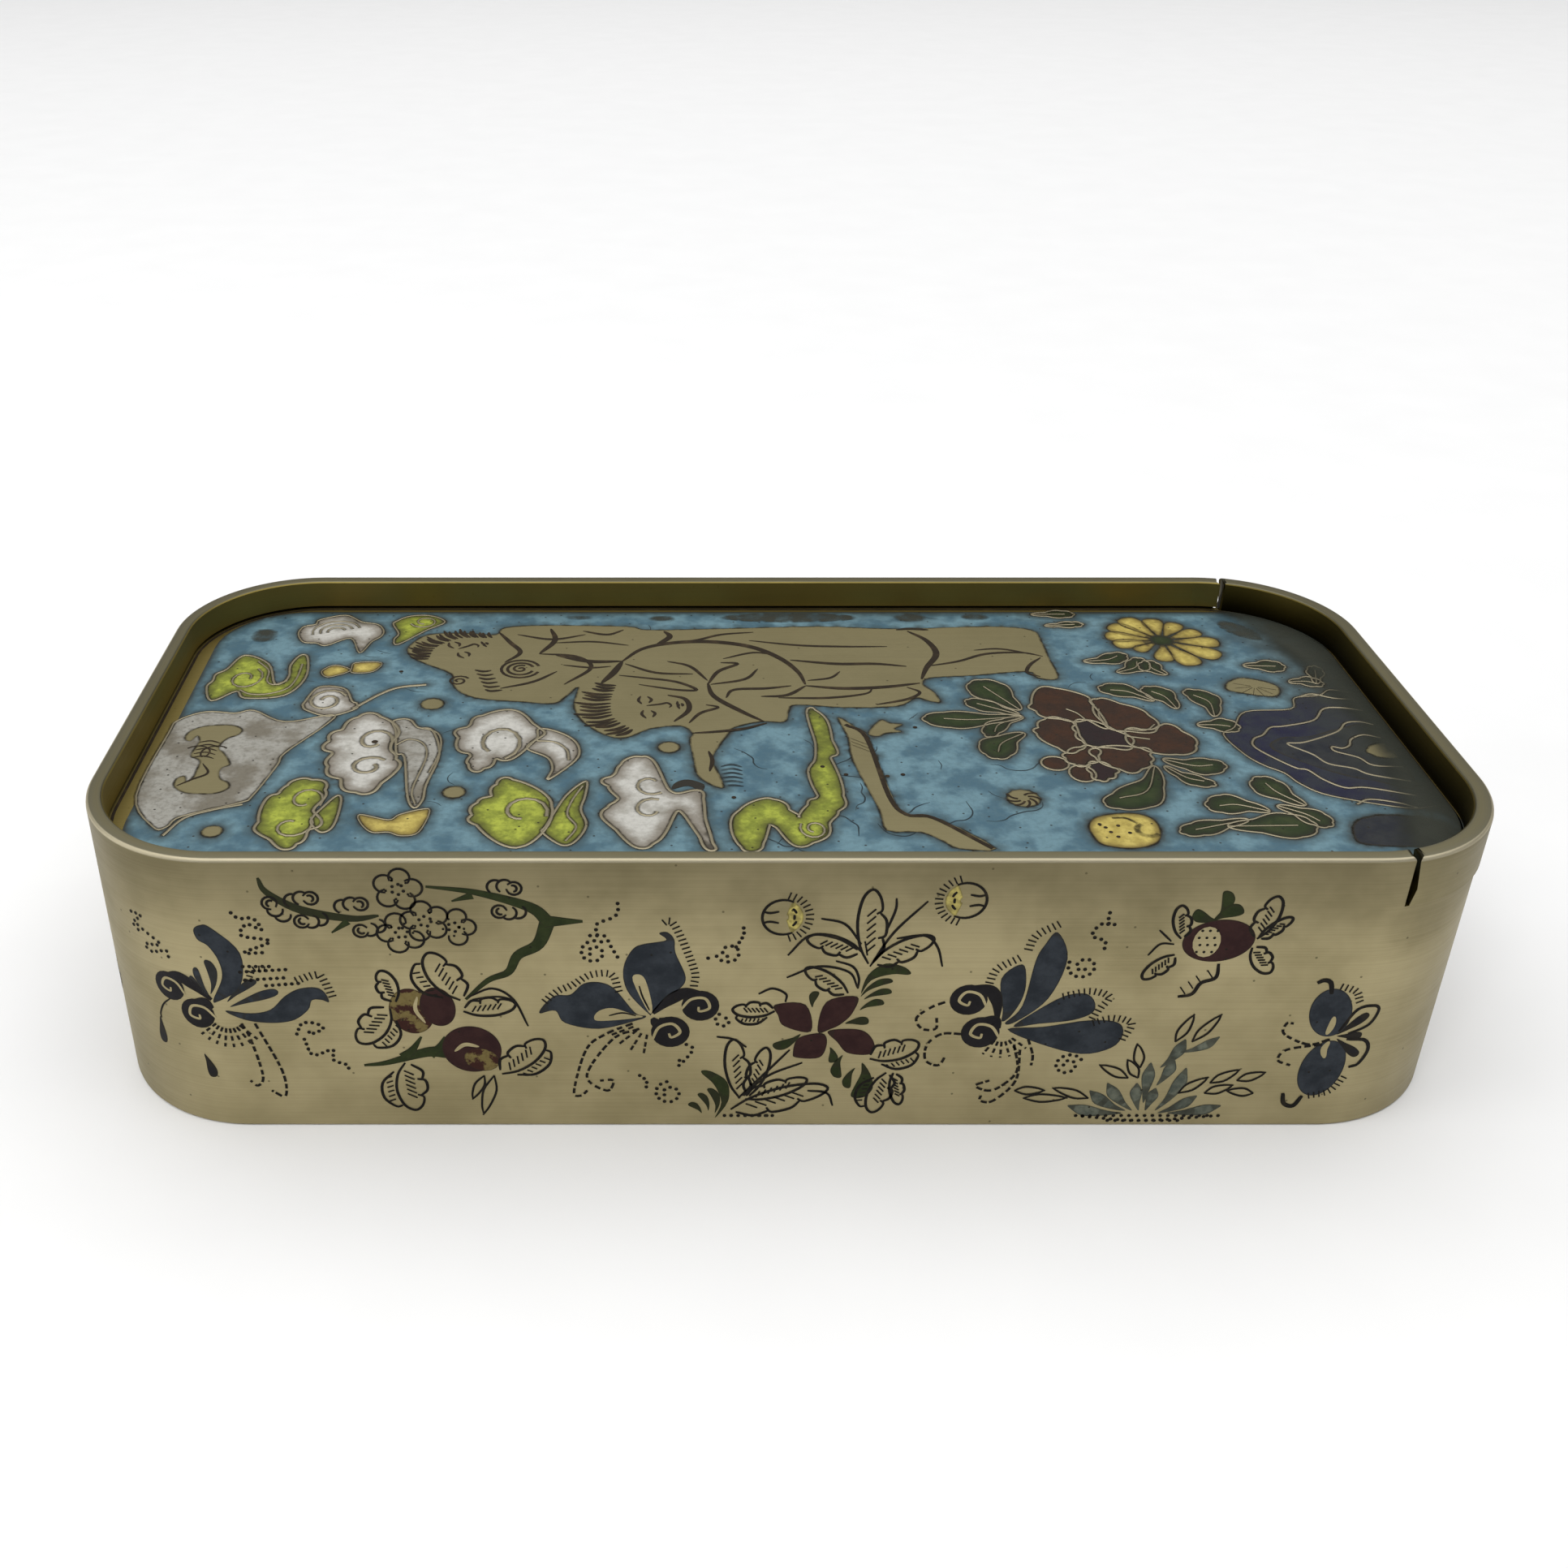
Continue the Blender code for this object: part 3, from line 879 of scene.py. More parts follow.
def dirt_and_shade_film(name, colour, reach, least, most, patch_size):
    """A see-through film, patchy, that fades out towards its edges: dirt, and at the lid's right end a
    painted shade.
    """
    finish, tree, shader = new_finish(name, Roughness=0.7, Specular_IOR_Level=0.1)
    place = place_on_surface(tree)
    depth = add(tree, "ShaderNodeAttribute", attribute_name="depth").outputs["Fac"]
    patchy = use(tree, BLOTCHES, {"Place": place, "Size": patch_size, "Low": 0.35, "High": 0.65})["Mask"]
    cover = maths(tree, "MULTIPLY_ADD", patchy, most - least, least)
    tree.links.new(times(tree, ramp(tree, depth, 0.0, reach), cover), shader.inputs["Alpha"])
    tree.links.new(mix(tree, patchy, scaled(colour, 1.3), colour), shader.inputs["Base Color"])
    return finish


# %% [markdown]
# ## The picture on the lid
# Its parts are gathered in layers: one for each colour of glass, two for bare brass, and the rest for
# cut lines and dirt. The heights are hundredths of a millimetre: glass a hair above the plate, brass
# walls a little above the glass, because brass wears less than glass when both are stoned.

# %% Layers of the lid
GLASS, CELL, METAL, LINE = 0.02, 0.05, 0.06, 0.10
DIRT_UP = 0.006          # dirt lies this far above what it is on
WIRE_CROWN = 0.07        # height of a wall's rounded top
WIRE_THIN = 0.72         # walls are drawn this share of their full width
turquoise, panel, white, green, yellow, maroon, plum, leaf, indigo, slate = (
    Layer("lid_" + name, on_lid)
    for name in (
        "turquoise", "panel", "white", "green", "yellow", "maroon", "plum", "leaf", "indigo", "slate"))
lid_wires, lid_plates, lid_lines, lid_scratches, lid_grime, lid_smudges, lid_right_end_shade = (
    Layer("lid_" + name, on_lid) for name in (
        "wires", "plates", "lines", "scratches", "grime", "smudges", "right_end_shade"))
cell_edges = []          # every wall's line, so that the ground knows where dirt gathers


def wire(points, width=0.6, steps=5, soiled=0.75):
    """A brass cell wall along a smooth line, with dirt on both sides. A width of 0 is a wall that
    has worn away and left only its dirt."""
    line = smooth_line(points, steps)
    if width:
        ribbon(lid_wires, line, WIRE_THIN * width, CELL, crown=WIRE_CROWN)
    ribbon(lid_grime, line, WIRE_THIN * width + soiled, CELL + DIRT_UP, soft=True)
    cell_edges.extend(line)


def drawn(what):
    """Prints how far the picture is."""
    print(f"{what} drawn, {len(cell_edges)} points on cell walls so far")


def scalloped(line, lobes, depth):
    """A closed line with round lobes added all the way round it."""
    area = sum(a.x * b.y - a.y * b.x for a, b in zip(line, line[1:] + line[:1]))
    out = []
    for k, point in enumerate(line):
        ahead = line[(k + 1) % len(line)] - line[k - 1]
        outward = Vector((ahead.y, -ahead.x)).normalized() * math.copysign(depth, area)
        out.append(point + outward * abs(math.sin(math.pi * lobes * k / len(line))))
    return out


def cell(layer, points, width=0.6, steps=5, grid=1.1, lift=CELL, soiled=0.75, lobes=0, depth=0.6):
    """A cell of glass with its brass wall. Its edge may be lobed."""
    outline = smooth_line(points, 2 * steps if lobes else steps, closed=True)
    if lobes:
        outline = scalloped(outline, lobes, depth)
    fill(layer, outline, lift, grid)
    wire(outline + outline[:1], width, steps=1, soiled=soiled)


def plate(points, steps=5):
    """A part of the picture that is bare brass."""
    grid, soiled = 1.6, 0.8
    outline = smooth_line(points, steps, closed=True)
    fill(lid_plates, outline, METAL, grid)
    ribbon(lid_grime, outline + outline[:1], soiled, METAL + DIRT_UP, soft=True)
    cell_edges.extend(outline)


def engrave(points, width):
    """A cut in the lid through a few points."""
    stroke(lid_lines, points, width, LINE)


def incise(line, width):
    """A cut in the lid that keeps its width."""
    ribbon(lid_lines, line, width, LINE)


def disc(centre, radius):
    """A round plate."""
    plate(arc(centre, radius, 0, 330, 11), steps=1)


def coil(centre, outer, inner, turns, start, width=0.6, tall=1.3):
    """A curling wall, taller than wide."""
    round_line = curl((0, 0), outer, inner, turns, start)
    wire([(centre[0] + p.x, centre[1] + tall * p.y) for p in round_line], width, steps=1)


# %% [markdown]
# Clouds first. A cloud is a scalloped outline with a curl or two inside. Most are white or a yellow
# green, and some trail a long tail to the right, as if blown. These are the ones at the left end.

# %% Clouds at the left
cell(panel, [(-99.5, 2), (-95.5, 5), (-90.5, 4.5), (-87.5, 5.5), (-81.5, 1.5), (-74, 4), (-74.5, 0.5),
    (-79.5, -9), (-80, -13), (-82, -22.5), (-83.5, -24.5), (-91.5, -28.5), (-93, -31.5), (-95, -31.5),
    (-100, -22.5), (-100, -2.5)], 0.5, grid=1.4)
wire([(-93, -34), (-91, -29), (-87, -26.5), (-83, -25)], 0.7)
cell(white, [(-79.5, 8.5), (-78, 14), (-73.5, 13.5), (-71.5, 9), (-70.5, 8), (-70.5, 6), (-74.5, 3.5),
    (-78.5, 5.5), (-79.5, 7)])
coil((-75.8, 9), 3.5, 1, 1.4, 25, 0.8, 1.2)
wire([(-71, 6), (-67, 11.5), (-64, 14), (-59.5, 15)], 0.9)
cell(white, [(-85.5, 35.5), (-85, 38.5), (-83, 39.5), (-82.5, 41.5), (-78, 43.5), (-74.5, 40.5),
    (-71.5, 39.5), (-70, 37), (-70, 34.5), (-71.5, 32), (-73, 27.5), (-75.5, 33.5), (-79.5, 30.5),
    (-81.5, 31.5), (-84, 32)], 0.45)
for radius in (1.6, 3, 4.4):
    wire(arc((-78.6, 36.4), radius, 200, 20), 0.4, steps=3)
cell(green, [(-68, 41), (-66, 43), (-63, 43.5), (-60.5, 42.5), (-59, 40.5), (-60.5, 38.5), (-62, 37),
    (-66.5, 31), (-67.5, 33), (-67, 35.5), (-68.5, 39.5)], 0.5)
coil((-62.8, 40.6), 2.6, 0.9, 1.2, 200, 0.5, 1)
cell(green, [(-97, 16.5), (-97, 19), (-95.5, 21), (-93.5, 26.5), (-88.5, 23), (-86, 15.5), (-84.5, 16),
    (-84, 18.5), (-84.5, 22.5), (-83.5, 26.5), (-82, 25.5), (-81, 17.5), (-83.5, 11), (-90, 10),
    (-92, 12.5), (-95.5, 9), (-97.5, 14)])
wire([(-90.5, 24), (-88, 20.5), (-87.5, 16.5), (-86, 15), (-84, 16.5)], 0.5)
coil((-91.6, 17.4), 3.3, 1, -1.2, 60, 0.5)
wire([(-91.5, 13), (-89.5, 11.5), (-86.5, 11.5), (-83.5, 13.5), (-82.5, 17.5), (-82.5, 23)], 0.5)
cell(yellow, [(-78.5, 20.5), (-76.5, 22.5), (-73.5, 20.5), (-76.5, 18), (-78, 18.5)], 0.35)
cell(yellow, [(-73.5, 21.5), (-73, 23.5), (-68.5, 23.5), (-69.5, 20), (-73, 19.5)], 0.35)
for centre, radius in (
        ((-57.6, 7.8), 2), ((-50.9, -21.4), 1.8), ((-85.9, -32.8), 1.6), ((-17.4, -7.2), 1.8)):
    disc(centre, radius)
drawn("left clouds")

# %% [markdown]
# The clouds in the middle are larger, with lobes all the way round and a coil in most of them. The
# last one is a tall green flame of cloud behind the front figure's hand.

# %% Clouds in the middle
cell(white, [(-73, -5), (-72.5, -2.5), (-71, -0.5), (-70, 2.5), (-68, 4), (-65.5, 3), (-62.5, -2),
    (-63, -8), (-61.5, -10.5), (-61, -13.5), (-63, -19.5), (-65, -21.5), (-67.5, -20.5), (-69, -17.5),
    (-71, -15.5), (-72, -12.5), (-71.5, -9.5), (-73, -7.5)], 0.8, lobes=11)
coil((-65.7, -5), 3.2, 1.2, 0.9, -10, 0.9)
coil((-65.4, -13.4), 3.2, 1.1, 1, 40, 0.9, 1)
dot(lid_lines, (-65.5, -5.4), 0.55, LINE, 9)
cell(panel, [(-63.5, 1.5), (-62, 2.5), (-60.5, 2), (-59, -0.5), (-56.5, -1.5), (-54.5, -9.5),
    (-55.5, -19), (-55.5, -23.5), (-56.5, -26), (-58, -22.5), (-60, -10.5), (-61.5, -9), (-62.5, -2)],
    0.6)
wire([(-62, -6.5), (-60, -4.5), (-57.5, -6), (-56.5, -10.5), (-57.5, -20.5), (-56.5, -25)], 0.5)
wire([(-59, -0.5), (-55.5, -2.5), (-54.5, -8), (-55.5, -15.5)], 0.5)
for line in (
        [(-60.5, -8), (-58.5, -11.5), (-57.5, -18), (-56.5, -24)],
        [(-55.5, -6.5), (-55, -12.5), (-56, -19.5)], [(-61.5, -1), (-59.5, -2.5), (-58, -4.5)]):
    stroke(lid_smudges, line, 1.9, METAL + 0.02)
cell(white, [(-52, -4), (-52, -1.5), (-50, 0.5), (-49, 3.5), (-43.5, 5), (-39, -1), (-39, -4),
    (-43, -10.5), (-45.5, -11), (-46.5, -13.5), (-48, -14.5), (-49.5, -12.5), (-49, -10), (-51, -8)], 0.7,
    lobes=9)
coil((-45.2, -5.6), 3.8, 2.4, 0.85, -70, 0.9, 1.5)
cell(white, [(-39, -1), (-36.5, -1.5), (-33.5, -4), (-32, -7.5), (-32.5, -11.5), (-36.5, -17.5),
    (-36, -14), (-37, -10.5), (-40.5, -7.5), (-39, -4)], 0.6)
wire([(-39, -5), (-36, -5.5), (-34, -8), (-33.5, -11.5)], 0.6)
cell(green, [(-79.5, -30), (-79, -23), (-77.5, -21.5), (-77, -19), (-74.5, -17.5), (-72, -18.5),
    (-71, -21.5), (-72, -26), (-70.5, -30.5), (-72, -33), (-72.5, -36), (-74.5, -37), (-78.5, -33)], 0.7,
    lobes=9)
cell(green, [(-71, -27), (-69, -22.5), (-68, -24), (-68, -31), (-69.5, -33), (-71.5, -30.5),
    (-71.5, -28.5)])
coil((-73.6, -23.6), 2.9, 1.2, 0.9, -30, 0.6)
coil((-74.4, -31.2), 3.4, 1.2, -0.9, 40, 0.6, 1.1)
cell(yellow, [(-64.5, -28), (-60, -29.5), (-58.5, -28), (-55.5, -26.5), (-54, -27), (-55, -33),
    (-57.5, -34), (-59.5, -33), (-62, -33), (-64, -30.5)], 0.35)
cell(green, [(-47.5, -28), (-47, -24.5), (-45, -22.5), (-44.5, -19), (-42, -17.5), (-35.5, -25.5),
    (-39.5, -37), (-46.5, -31)], 0.7, lobes=8, depth=0.5)
coil((-39.8, -27), 3.9, 1.8, 0.8, -20, 0.8, 1.2)
cell(green, [(-36, -31), (-33.5, -22.5), (-30.5, -18), (-30.5, -22.5), (-31, -26.5), (-30, -31),
    (-31.5, -35.5), (-33.5, -36.5), (-36.5, -33)])
wire([(-31, -19.5), (-32.5, -24), (-33, -28), (-31.5, -31.5), (-33, -35.5)], 0.5)
cell(white, [(-27, -19.5), (-27.5, -17.5), (-25.5, -15.5), (-25, -12.5), (-22.5, -10.5), (-20.5, -11.5),
    (-17, -21.5), (-12.5, -21.5), (-12.5, -29.5), (-11, -37), (-12.5, -36), (-15, -27.5), (-17, -28),
    (-19.5, -35.5), (-22.5, -36.5), (-27, -29.5), (-27, -26), (-25.5, -24.5), (-25.5, -22)], 0.7,
    lobes=13, depth=0.5)
coil((-20.4, -19), 2.7, 1.2, -0.75, -50, 0.7, 1.2)
coil((-20.4, -26.4), 2.7, 1.2, 0.75, 60, 0.7, 1.2)
fill(slate, smooth_line([(-17, -20.5), (-16.5, -18.5), (-14.5, -17.5), (-12, -19), (-12.5, -21),
    (-14.5, -19.5)], 4, closed=True), METAL)
cell(green, [(-7, -37), (-7.5, -28), (-2.5, -23.5), (0, -25), (1.5, -28), (2.5, -28.5), (4, -24.5),
    (5.5, -22.5), (5, -14), (6.5, -10.5), (6.5, 5.5), (8.5, 2.5), (9.5, -8), (8.5, -11.5), (9.5, -22.5),
    (8.5, -26.5), (7, -29), (5.5, -34), (1.5, -36.5), (-2.5, -30.5), (-4, -37)], lobes=18, depth=0.5)
coil((4.2, -32), 2.2, 0.7, 1.3, 150, 0.5)
drawn("all clouds")

# %% [markdown]
# The bat on the white panel is bare brass with two hooked wings: a bat stands for good fortune,
# because the two words sound alike in Chinese. A bent brass staff crosses the ground further right.

# %% The bat, the staff and the small shell
wing = [(-96.8, -4.4), (-96.7, -2.1), (-95, -0.3), (-92.4, 0.3), (-89.6, 0.1), (-88, -1.4), (-88.4, -3.1),
    (-89.7, -4.1), (-90.5, -6), (-90.4, -7.8), (-89.4, -9)]
armpit = [(-94.5, -10), (-94.3, -6.5), (-94.3, -5), (-95, -3.4), (-95.7, -5.1)]
plate(wing + [(x + 1.8, -21.6 - y) for x, y in wing[::-1]]
    + [(x + 1.8, -21.6 - y) for x, y in armpit[::-1]] + armpit, steps=4)
for k in range(5):
    engrave([(-94.2, -5.6 - 1.25 * k), (-92.4, -5.1 - 1.25 * k), (-90.6, -5.9 - 1.25 * k)], 0.35)
for side in (-1, 1):
    incise(arc((-92.4 + 1.5 * side, -9), 2.2, 90 - 50 * side, 90 + 130 * side, 9), 0.3)
engrave([(-92, -12.5), (-90.5, -15.5), (-92.5, -17.5), (-94.5, -19.5)], 0.45)
plate([(11, 3), (12, -4), (12, -11.5), (14.5, -26.5), (15, -32.5), (20, -33), (23, -35.5), (25, -37.5),
    (30.5, -37.5), (23.5, -29.5), (18.5, -28), (17, -22.5), (15.5, -4.5), (14, -1)], steps=3)
incise(smooth_line([(12, 0.5), (15, -4), (16.5, -22.5), (18.5, -28), (22.5, -29), (30, -37.5)]), 0.75)
for k in range(3):
    engrave([(12.4, -4.2 - 1.1 * k), (15.6, -6.9 - 1.1 * k)], 0.3)
plate([(15.5, -2.5), (18, 2), (19.5, 1), (21.5, 0.5), (20, -1), (21, -2), (18.5, -2.5), (17, -3.5)],
    steps=4)
shell = (37.2, -23.2)
disc(shell, 2.6)
for k in range(7):
    angle = 150 + 40 * k
    incise(smooth_line(curl(shell, 2.7, 0.9, 0.12, angle)), 0.4)
drawn("bat and staff")

# %% [markdown]
# Two robed figures recline along the length of the box. The picture keeps their broad shape, in
# plain brass with engraved folds. Folds fan out from where cloth is held: the shoulder, the elbow
# and the knee. Both faces are of one calm pattern, laid out by a drawing teacher's rule, with the
# eyes halfway down the head.

# %% The figures
FACE_LINE = 0.55


def calm_face(centre, turn, size):
    """Brows, closed eyes, nose and mouth. A size of 1 is a head one millimetre high."""
    marks = []
    for side in (-1, 1):
        marks.append([(0.08 * side, 0.10), (0.18 * side, 0.13), (0.29 * side, 0.09)])
        marks.append([(0.10 * side, 0.01), (0.18 * side, -0.03), (0.27 * side, 0.01)])
    marks.append([(0.03, 0.05), (0.05, -0.12), (0.07, -0.21), (0, -0.25), (-0.05, -0.22)])
    marks.append([(-0.10, -0.34), (-0.03, -0.33), (0, -0.34), (0.03, -0.33), (0.10, -0.34)])
    marks.append([(-0.04, -0.38), (0, -0.39), (0.04, -0.38)])
    for mark in marks:
        engrave(moved(mark, centre, turn, size), FACE_LINE)


def combed_hair(hairline, crown, count, width):
    """Locks side by side, combed back from the hairline to the crown."""
    front, back = smooth_line(hairline, 12), smooth_line(crown, 12)
    for k in range(count):
        share = k / (count - 1)
        root = front[round(share * (len(front) - 1))]
        tip = back[round(share * (len(back) - 1))]
        bow = 0.10 * left_of(tip - root)
        reach = 0.82 + 0.18 * (k % 3 == 0)
        engrave([root, root + 0.5 * reach * (tip - root) + bow, root + reach * (tip - root)], width)


plate([(-64.5, 29.5), (-62.5, 34), (-59.5, 35.5), (-54, 35.5), (-49, 35), (-47.5, 38), (-40, 39),
    (-25, 38.5), (-21, 37), (-8.5, 37.5), (10.5, 38.5), (25, 37.5), (42, 38.5), (50, 37), (51, 32),
    (51, 25.5), (51, 17.5), (47.5, 17.5), (46, 20), (36.5, 18.5), (28.5, 17.5), (27, 15), (28.5, 12),
    (29, 8.5), (27, 9), (25, 10), (21.5, 7), (12.5, 6.5), (4.5, 7.5), (3, 5.5), (2, 1.5), (-2, 1.5),
    (-6.5, -0.5), (-7.5, -2.5), (-9.5, -7.5), (-10.5, -11.5), (-9.5, -16), (-9, -20), (-11, -19),
    (-13, -16), (-13.5, -11), (-14, -5), (-13.5, -2.5), (-15.5, 0), (-20.5, -1), (-24.5, -4), (-28, -3),
    (-32, 2), (-33.5, 7.5), (-33, 14), (-35, 10.5), (-37, 8), (-42, 8.5), (-50.5, 10), (-54.5, 14),
    (-55.5, 19), (-60.5, 23), (-63.5, 26)], steps=4)
for width, *points in (
        (0.8, (-48.5, 36), (-46, 31.5), (-44, 27.5), (-46.5, 23.5)),
        (0.9, (-39, 37.5), (-38, 32.5), (-40.5, 27)), (0.6, (-45, 35), (-38.5, 33), (-32.5, 35)),
        (0.5, (-38, 31.5), (-31, 32), (-24.5, 30.5)),
        (0.7, (-40.5, 27), (-34, 26), (-31, 21.5), (-35.5, 15)),
        (0.6, (-46.5, 13.5), (-41, 16), (-37, 20)), (1, (-37.5, 26.5), (-31.5, 24), (-25.5, 24)),
        (0.5, (-36, 22.5), (-31, 21.5), (-27.5, 22)), (0.6, (-33, 36.5), (-28.5, 35), (-25.5, 37)),
        (1.1, (-25.5, 24), (-22, 29), (-16.5, 31.5), (-9.5, 32), (-2.5, 30), (2.5, 25.5), (5.5, 20),
            (6.5, 15)),
        (1, (-18, 36.5), (-17, 34), (-19.5, 30.5)),
        (0.6, (-19, 31), (-12.5, 32.5), (-7.5, 35), (-1.5, 36)),
        (1.1, (-25.5, 24), (-27, 19.5), (-29, 15.5)), (0.6, (-25, 23), (-19.5, 19.5), (-13, 19)),
        (0.6, (-17.5, 24), (-13.5, 22), (-10.5, 16.5)),
        (0.7, (-10.5, 15), (-8.5, 20), (-5, 23), (-8, 23.5)), (0.6, (-10, 15), (-4, 17), (-1.5, 21)),
        (0.9, (-10.5, 15.5), (-9.5, 10.5), (-5, 5), (-1.5, 1.5)),
        (0.5, (-7.5, 25), (-2, 27.5), (2, 26.5)), (0.7, (-7.5, 10), (-6, 13), (-0.5, 13.5), (4, 14.5)),
        (0.7, (6.5, 14.5), (3, 11), (-1.5, 10.5)),
        (0.9, (6.5, 14.5), (13, 13.5), (20, 14), (26.5, 15.5)),
        (0.6, (1.5, 10), (10, 10), (16.5, 11.5), (18, 13.5)),
        (0.8, (4.5, 24.5), (12.5, 23), (19.5, 23), (25, 22)),
        (0.6, (-2.5, 32.5), (6.5, 30.5), (14.5, 30), (22.5, 30)),
        (0.5, (13, 20), (11, 17.5), (7, 16.5)),
        (1, (27, 36.5), (30, 32.5), (31, 27), (28.5, 21.5), (27, 17)),
        (0.8, (25, 37), (27.5, 37.5), (31, 37)),
        (0.6, (28.5, 22), (34.5, 24), (40, 27), (46.5, 27.5), (50, 26)),
        (0.5, (38, 28.5), (43, 29), (49, 26.5)), (0.6, (49.5, 25.5), (47, 22.5), (46, 19.5), (48, 18)),
        (0.6, (24, 14), (26, 12), (23.5, 9.5), (18, 7.5)),
        (0.7, (-13.5, -2.5), (-9.5, -2), (-5, -1), (-1, 1)),
        (0.6, (-11, -8.5), (-10.5, -11.5), (-11, -15)),
        (0.6, (-14, 1), (-12, 4.5), (-9, 6.5), (-11, 7.5)),
        (0.8, (-17.5, 11), (-14.5, 9.5), (-14, 5.5), (-16.5, 1.5)),
        (0.6, (-26, 18.5), (-21.5, 17.5), (-16, 16), (-12.5, 13), (-16, 13), (-22.5, 15))):
    engrave(points, 1.2 * width)
calm_face((-20.4, 6.8), 97, 14)
calm_face((-54.6, 29), 118, 12.5)
combed_hair([(-26.4, 14.6), (-27.2, 9), (-26.6, 3), (-23.4, -1.2)],
    [(-30.2, 15.6), (-33.4, 9.6), (-32.6, 1.6), (-26.8, -3.8)], 17, 0.9)
combed_hair([(-49.6, 33.6), (-55.4, 33.4), (-59.4, 29.6), (-60.2, 25)],
    [(-50.4, 36), (-57.6, 37.2), (-63.8, 31.4), (-64.4, 26)], 24, 0.7)
for k in range(6):       # the fingers of the front figure's hand, grey in the glass
    stroke(lid_scratches, [(-9.2, -13.4 - 1.2 * k), (-7.4, -12.8 - 1.3 * k), (-5.8, -13.6 - 1.2 * k)],
        0.6, METAL)
for radius in (3.4, 2.3):
    incise(arc((-43.5, 21), radius, 20, 340, 18), 0.55)
incise(curl((-43.5, 21), 1.5, 0.2, 1.3, 60), 0.5)
incise(curl((-54, 16.4), 1.9, 0.3, 1.6, 30), 0.45)
for k in range(6):
    engrave([(-51.6 + 0.5 * k, 20.6 - 1.5 * k), (-50.0 + 0.4 * k, 20.0 - 1.5 * k),
        (-48.6 + 0.5 * k, 20.4 - 1.5 * k)], 0.7)
drawn("figures")

# %% [markdown]
# The garden on the right starts with a yellow chrysanthemum and a dark peony among leaves. Petals and
# leaves are the same almond or teardrop again and again, so each is one function with a place, a
# direction and a size.

# %% Flowers and leaves
def lid_leaf(root, tip, width, bend):
    """A wavy leaf with a vein."""
    cell(leaf, finger(root, tip, width, bend, 0.6), 0.45, lobes=7, depth=0.3)
    root, tip = Vector(root), Vector(tip)
    bow = bend * left_of(tip - root)
    wire([root, (root + tip) / 2 + bow, root + 0.8 * (tip - root)], 0.35)


heart, heart_size = (73.1, 32.6), 1.6
petals = ((117, 10.8), (88, 9.4), (58, 8.8), (26, 8.8), (-5, 10.4), (-38, 11.2), (-72, 10.8), (-101, 8.8),
    (-143, 7.2), (-169, 9.4), (168, 10.2), (142, 10.5))
for number, (angle, length) in enumerate(petals):
    petal = finger(on_circle(heart, heart_size, angle), on_circle(heart, length, angle),
                   0.5 * (length - heart_size))
    cell(yellow, petal, 0, lift=CELL - 0.002 * number, soiled=0.6)
fill(leaf, arc(heart, 2.2, 0, 345, 14), METAL, 0.8)
for root, tip, width, bend in (
        ((57, 24), (65, 26.7), 3.8, -0.08), ((62, 19.7), (67.5, 25), 4.1, -0.14),
        ((70.3, 18.8), (67.8, 24), 4, 0.1), ((85, 22.4), (92, 22), 4.2, 0),
        ((65.6, 9), (57.5, 14), 4.6, -0.1), ((68.8, 6.2), (65.4, 14), 4.6, -0.1),
        ((74.4, 3.4), (72.6, 13), 4.8, -0.15), ((70.7, 0.4), (77.3, -0.3), 4.4, 0.05),
        ((51.4, 43.9), (59.3, 44), 3, 0), ((53, 38.9), (60, 39.6), 2.2, 0),
        ((91, 16), (96.6, 15.4), 3.4, 0.1), ((95.6, 15.4), (97.5, 22), 2.6, 0),
        ((42.1, 5.7), (36.2, 16.4), 7, 0), ((41.6, 4), (33.6, 9), 3.8, 0),
        ((42, 3.4), (25.4, 2.4), 5.6, 0.04), ((41.2, -2.4), (34.5, -10.4), 6, -0.1),
        ((42.1, 3.1), (35, -3.4), 3.2, -0.12), ((60, -13.3), (50, -25.6), 6.6, 0.15),
        ((61.9, -11.1), (71.2, -13.4), 5, -0.1), ((61.6, -13.3), (67.8, -19.2), 3, -0.1),
        ((80, -25.3), (75, -17), 5.4, 0.06), ((74, -27), (65, -25), 5.4, -0.1),
        ((75.7, -25.4), (82, -31), 4.2, 0.06), ((66.4, -31.3), (79.6, -31), 6.8, 0),
        ((70, -29.4), (59, -33), 3.6, 0)):
    lid_leaf(root, tip, width, bend)
for layer, points in (
        (maroon, [(44.5, 8), (48, 14), (54, 10.5), (54.5, 7), (55.5, -0.5), (53, 2), (50, 2),
            (46, 3.5), (44.5, 6)]),
        (maroon, [(55, 7.5), (57, 9.5), (63, 4.5), (63, -1.5), (56, -0.5)]),
        (maroon, [(58, -3), (59.5, -1), (63, -1.5), (65, 0.5), (67, -1), (68.5, -4.5), (68, -7.5),
            (65, -9.5), (61, -8.5), (58.5, -6.5)]),
        (plum, [(50.5, 0.5), (52.5, 2), (58, -3.5), (57, -7.5), (51, -6), (50, -2.5)]),
        (maroon, [(44, -0.5), (46, 2.5), (49.5, 1.5), (50, -6.5), (47, -8.5), (43.5, -3)]),
        (maroon, [(52, -7.5), (59.5, -7.5), (60, -10.5), (59, -13), (55.5, -15), (51.5, -11)]),
        (maroon, [(47, -9), (50, -7), (52, -8), (51, -11.5), (48, -13), (46.5, -11)]),
        (plum, [(51, -12), (53.5, -14.5), (52, -17), (50, -17.5), (49.5, -14)])):
    cell(layer, points, 0.6, lobes=7, depth=0.5)
cell(maroon, arc((44.3, -12.4), 2.2, 0, 324, 9), 0.55, steps=2)
cell(maroon, oval((48, -15.6), 4.2, 5.2), 0.55, steps=1)
for line in (
        [(50, 6), (51.5, 4.5), (52.5, 2)], [(55.5, 6), (55, 3.5), (55.5, -0.5)],
        [(58, -3.5), (61.5, -4.5)], [(63.5, 0.5), (61.5, -1.5), (58.5, -1)]):
    wire(line, 0.45)
drawn("flowers")

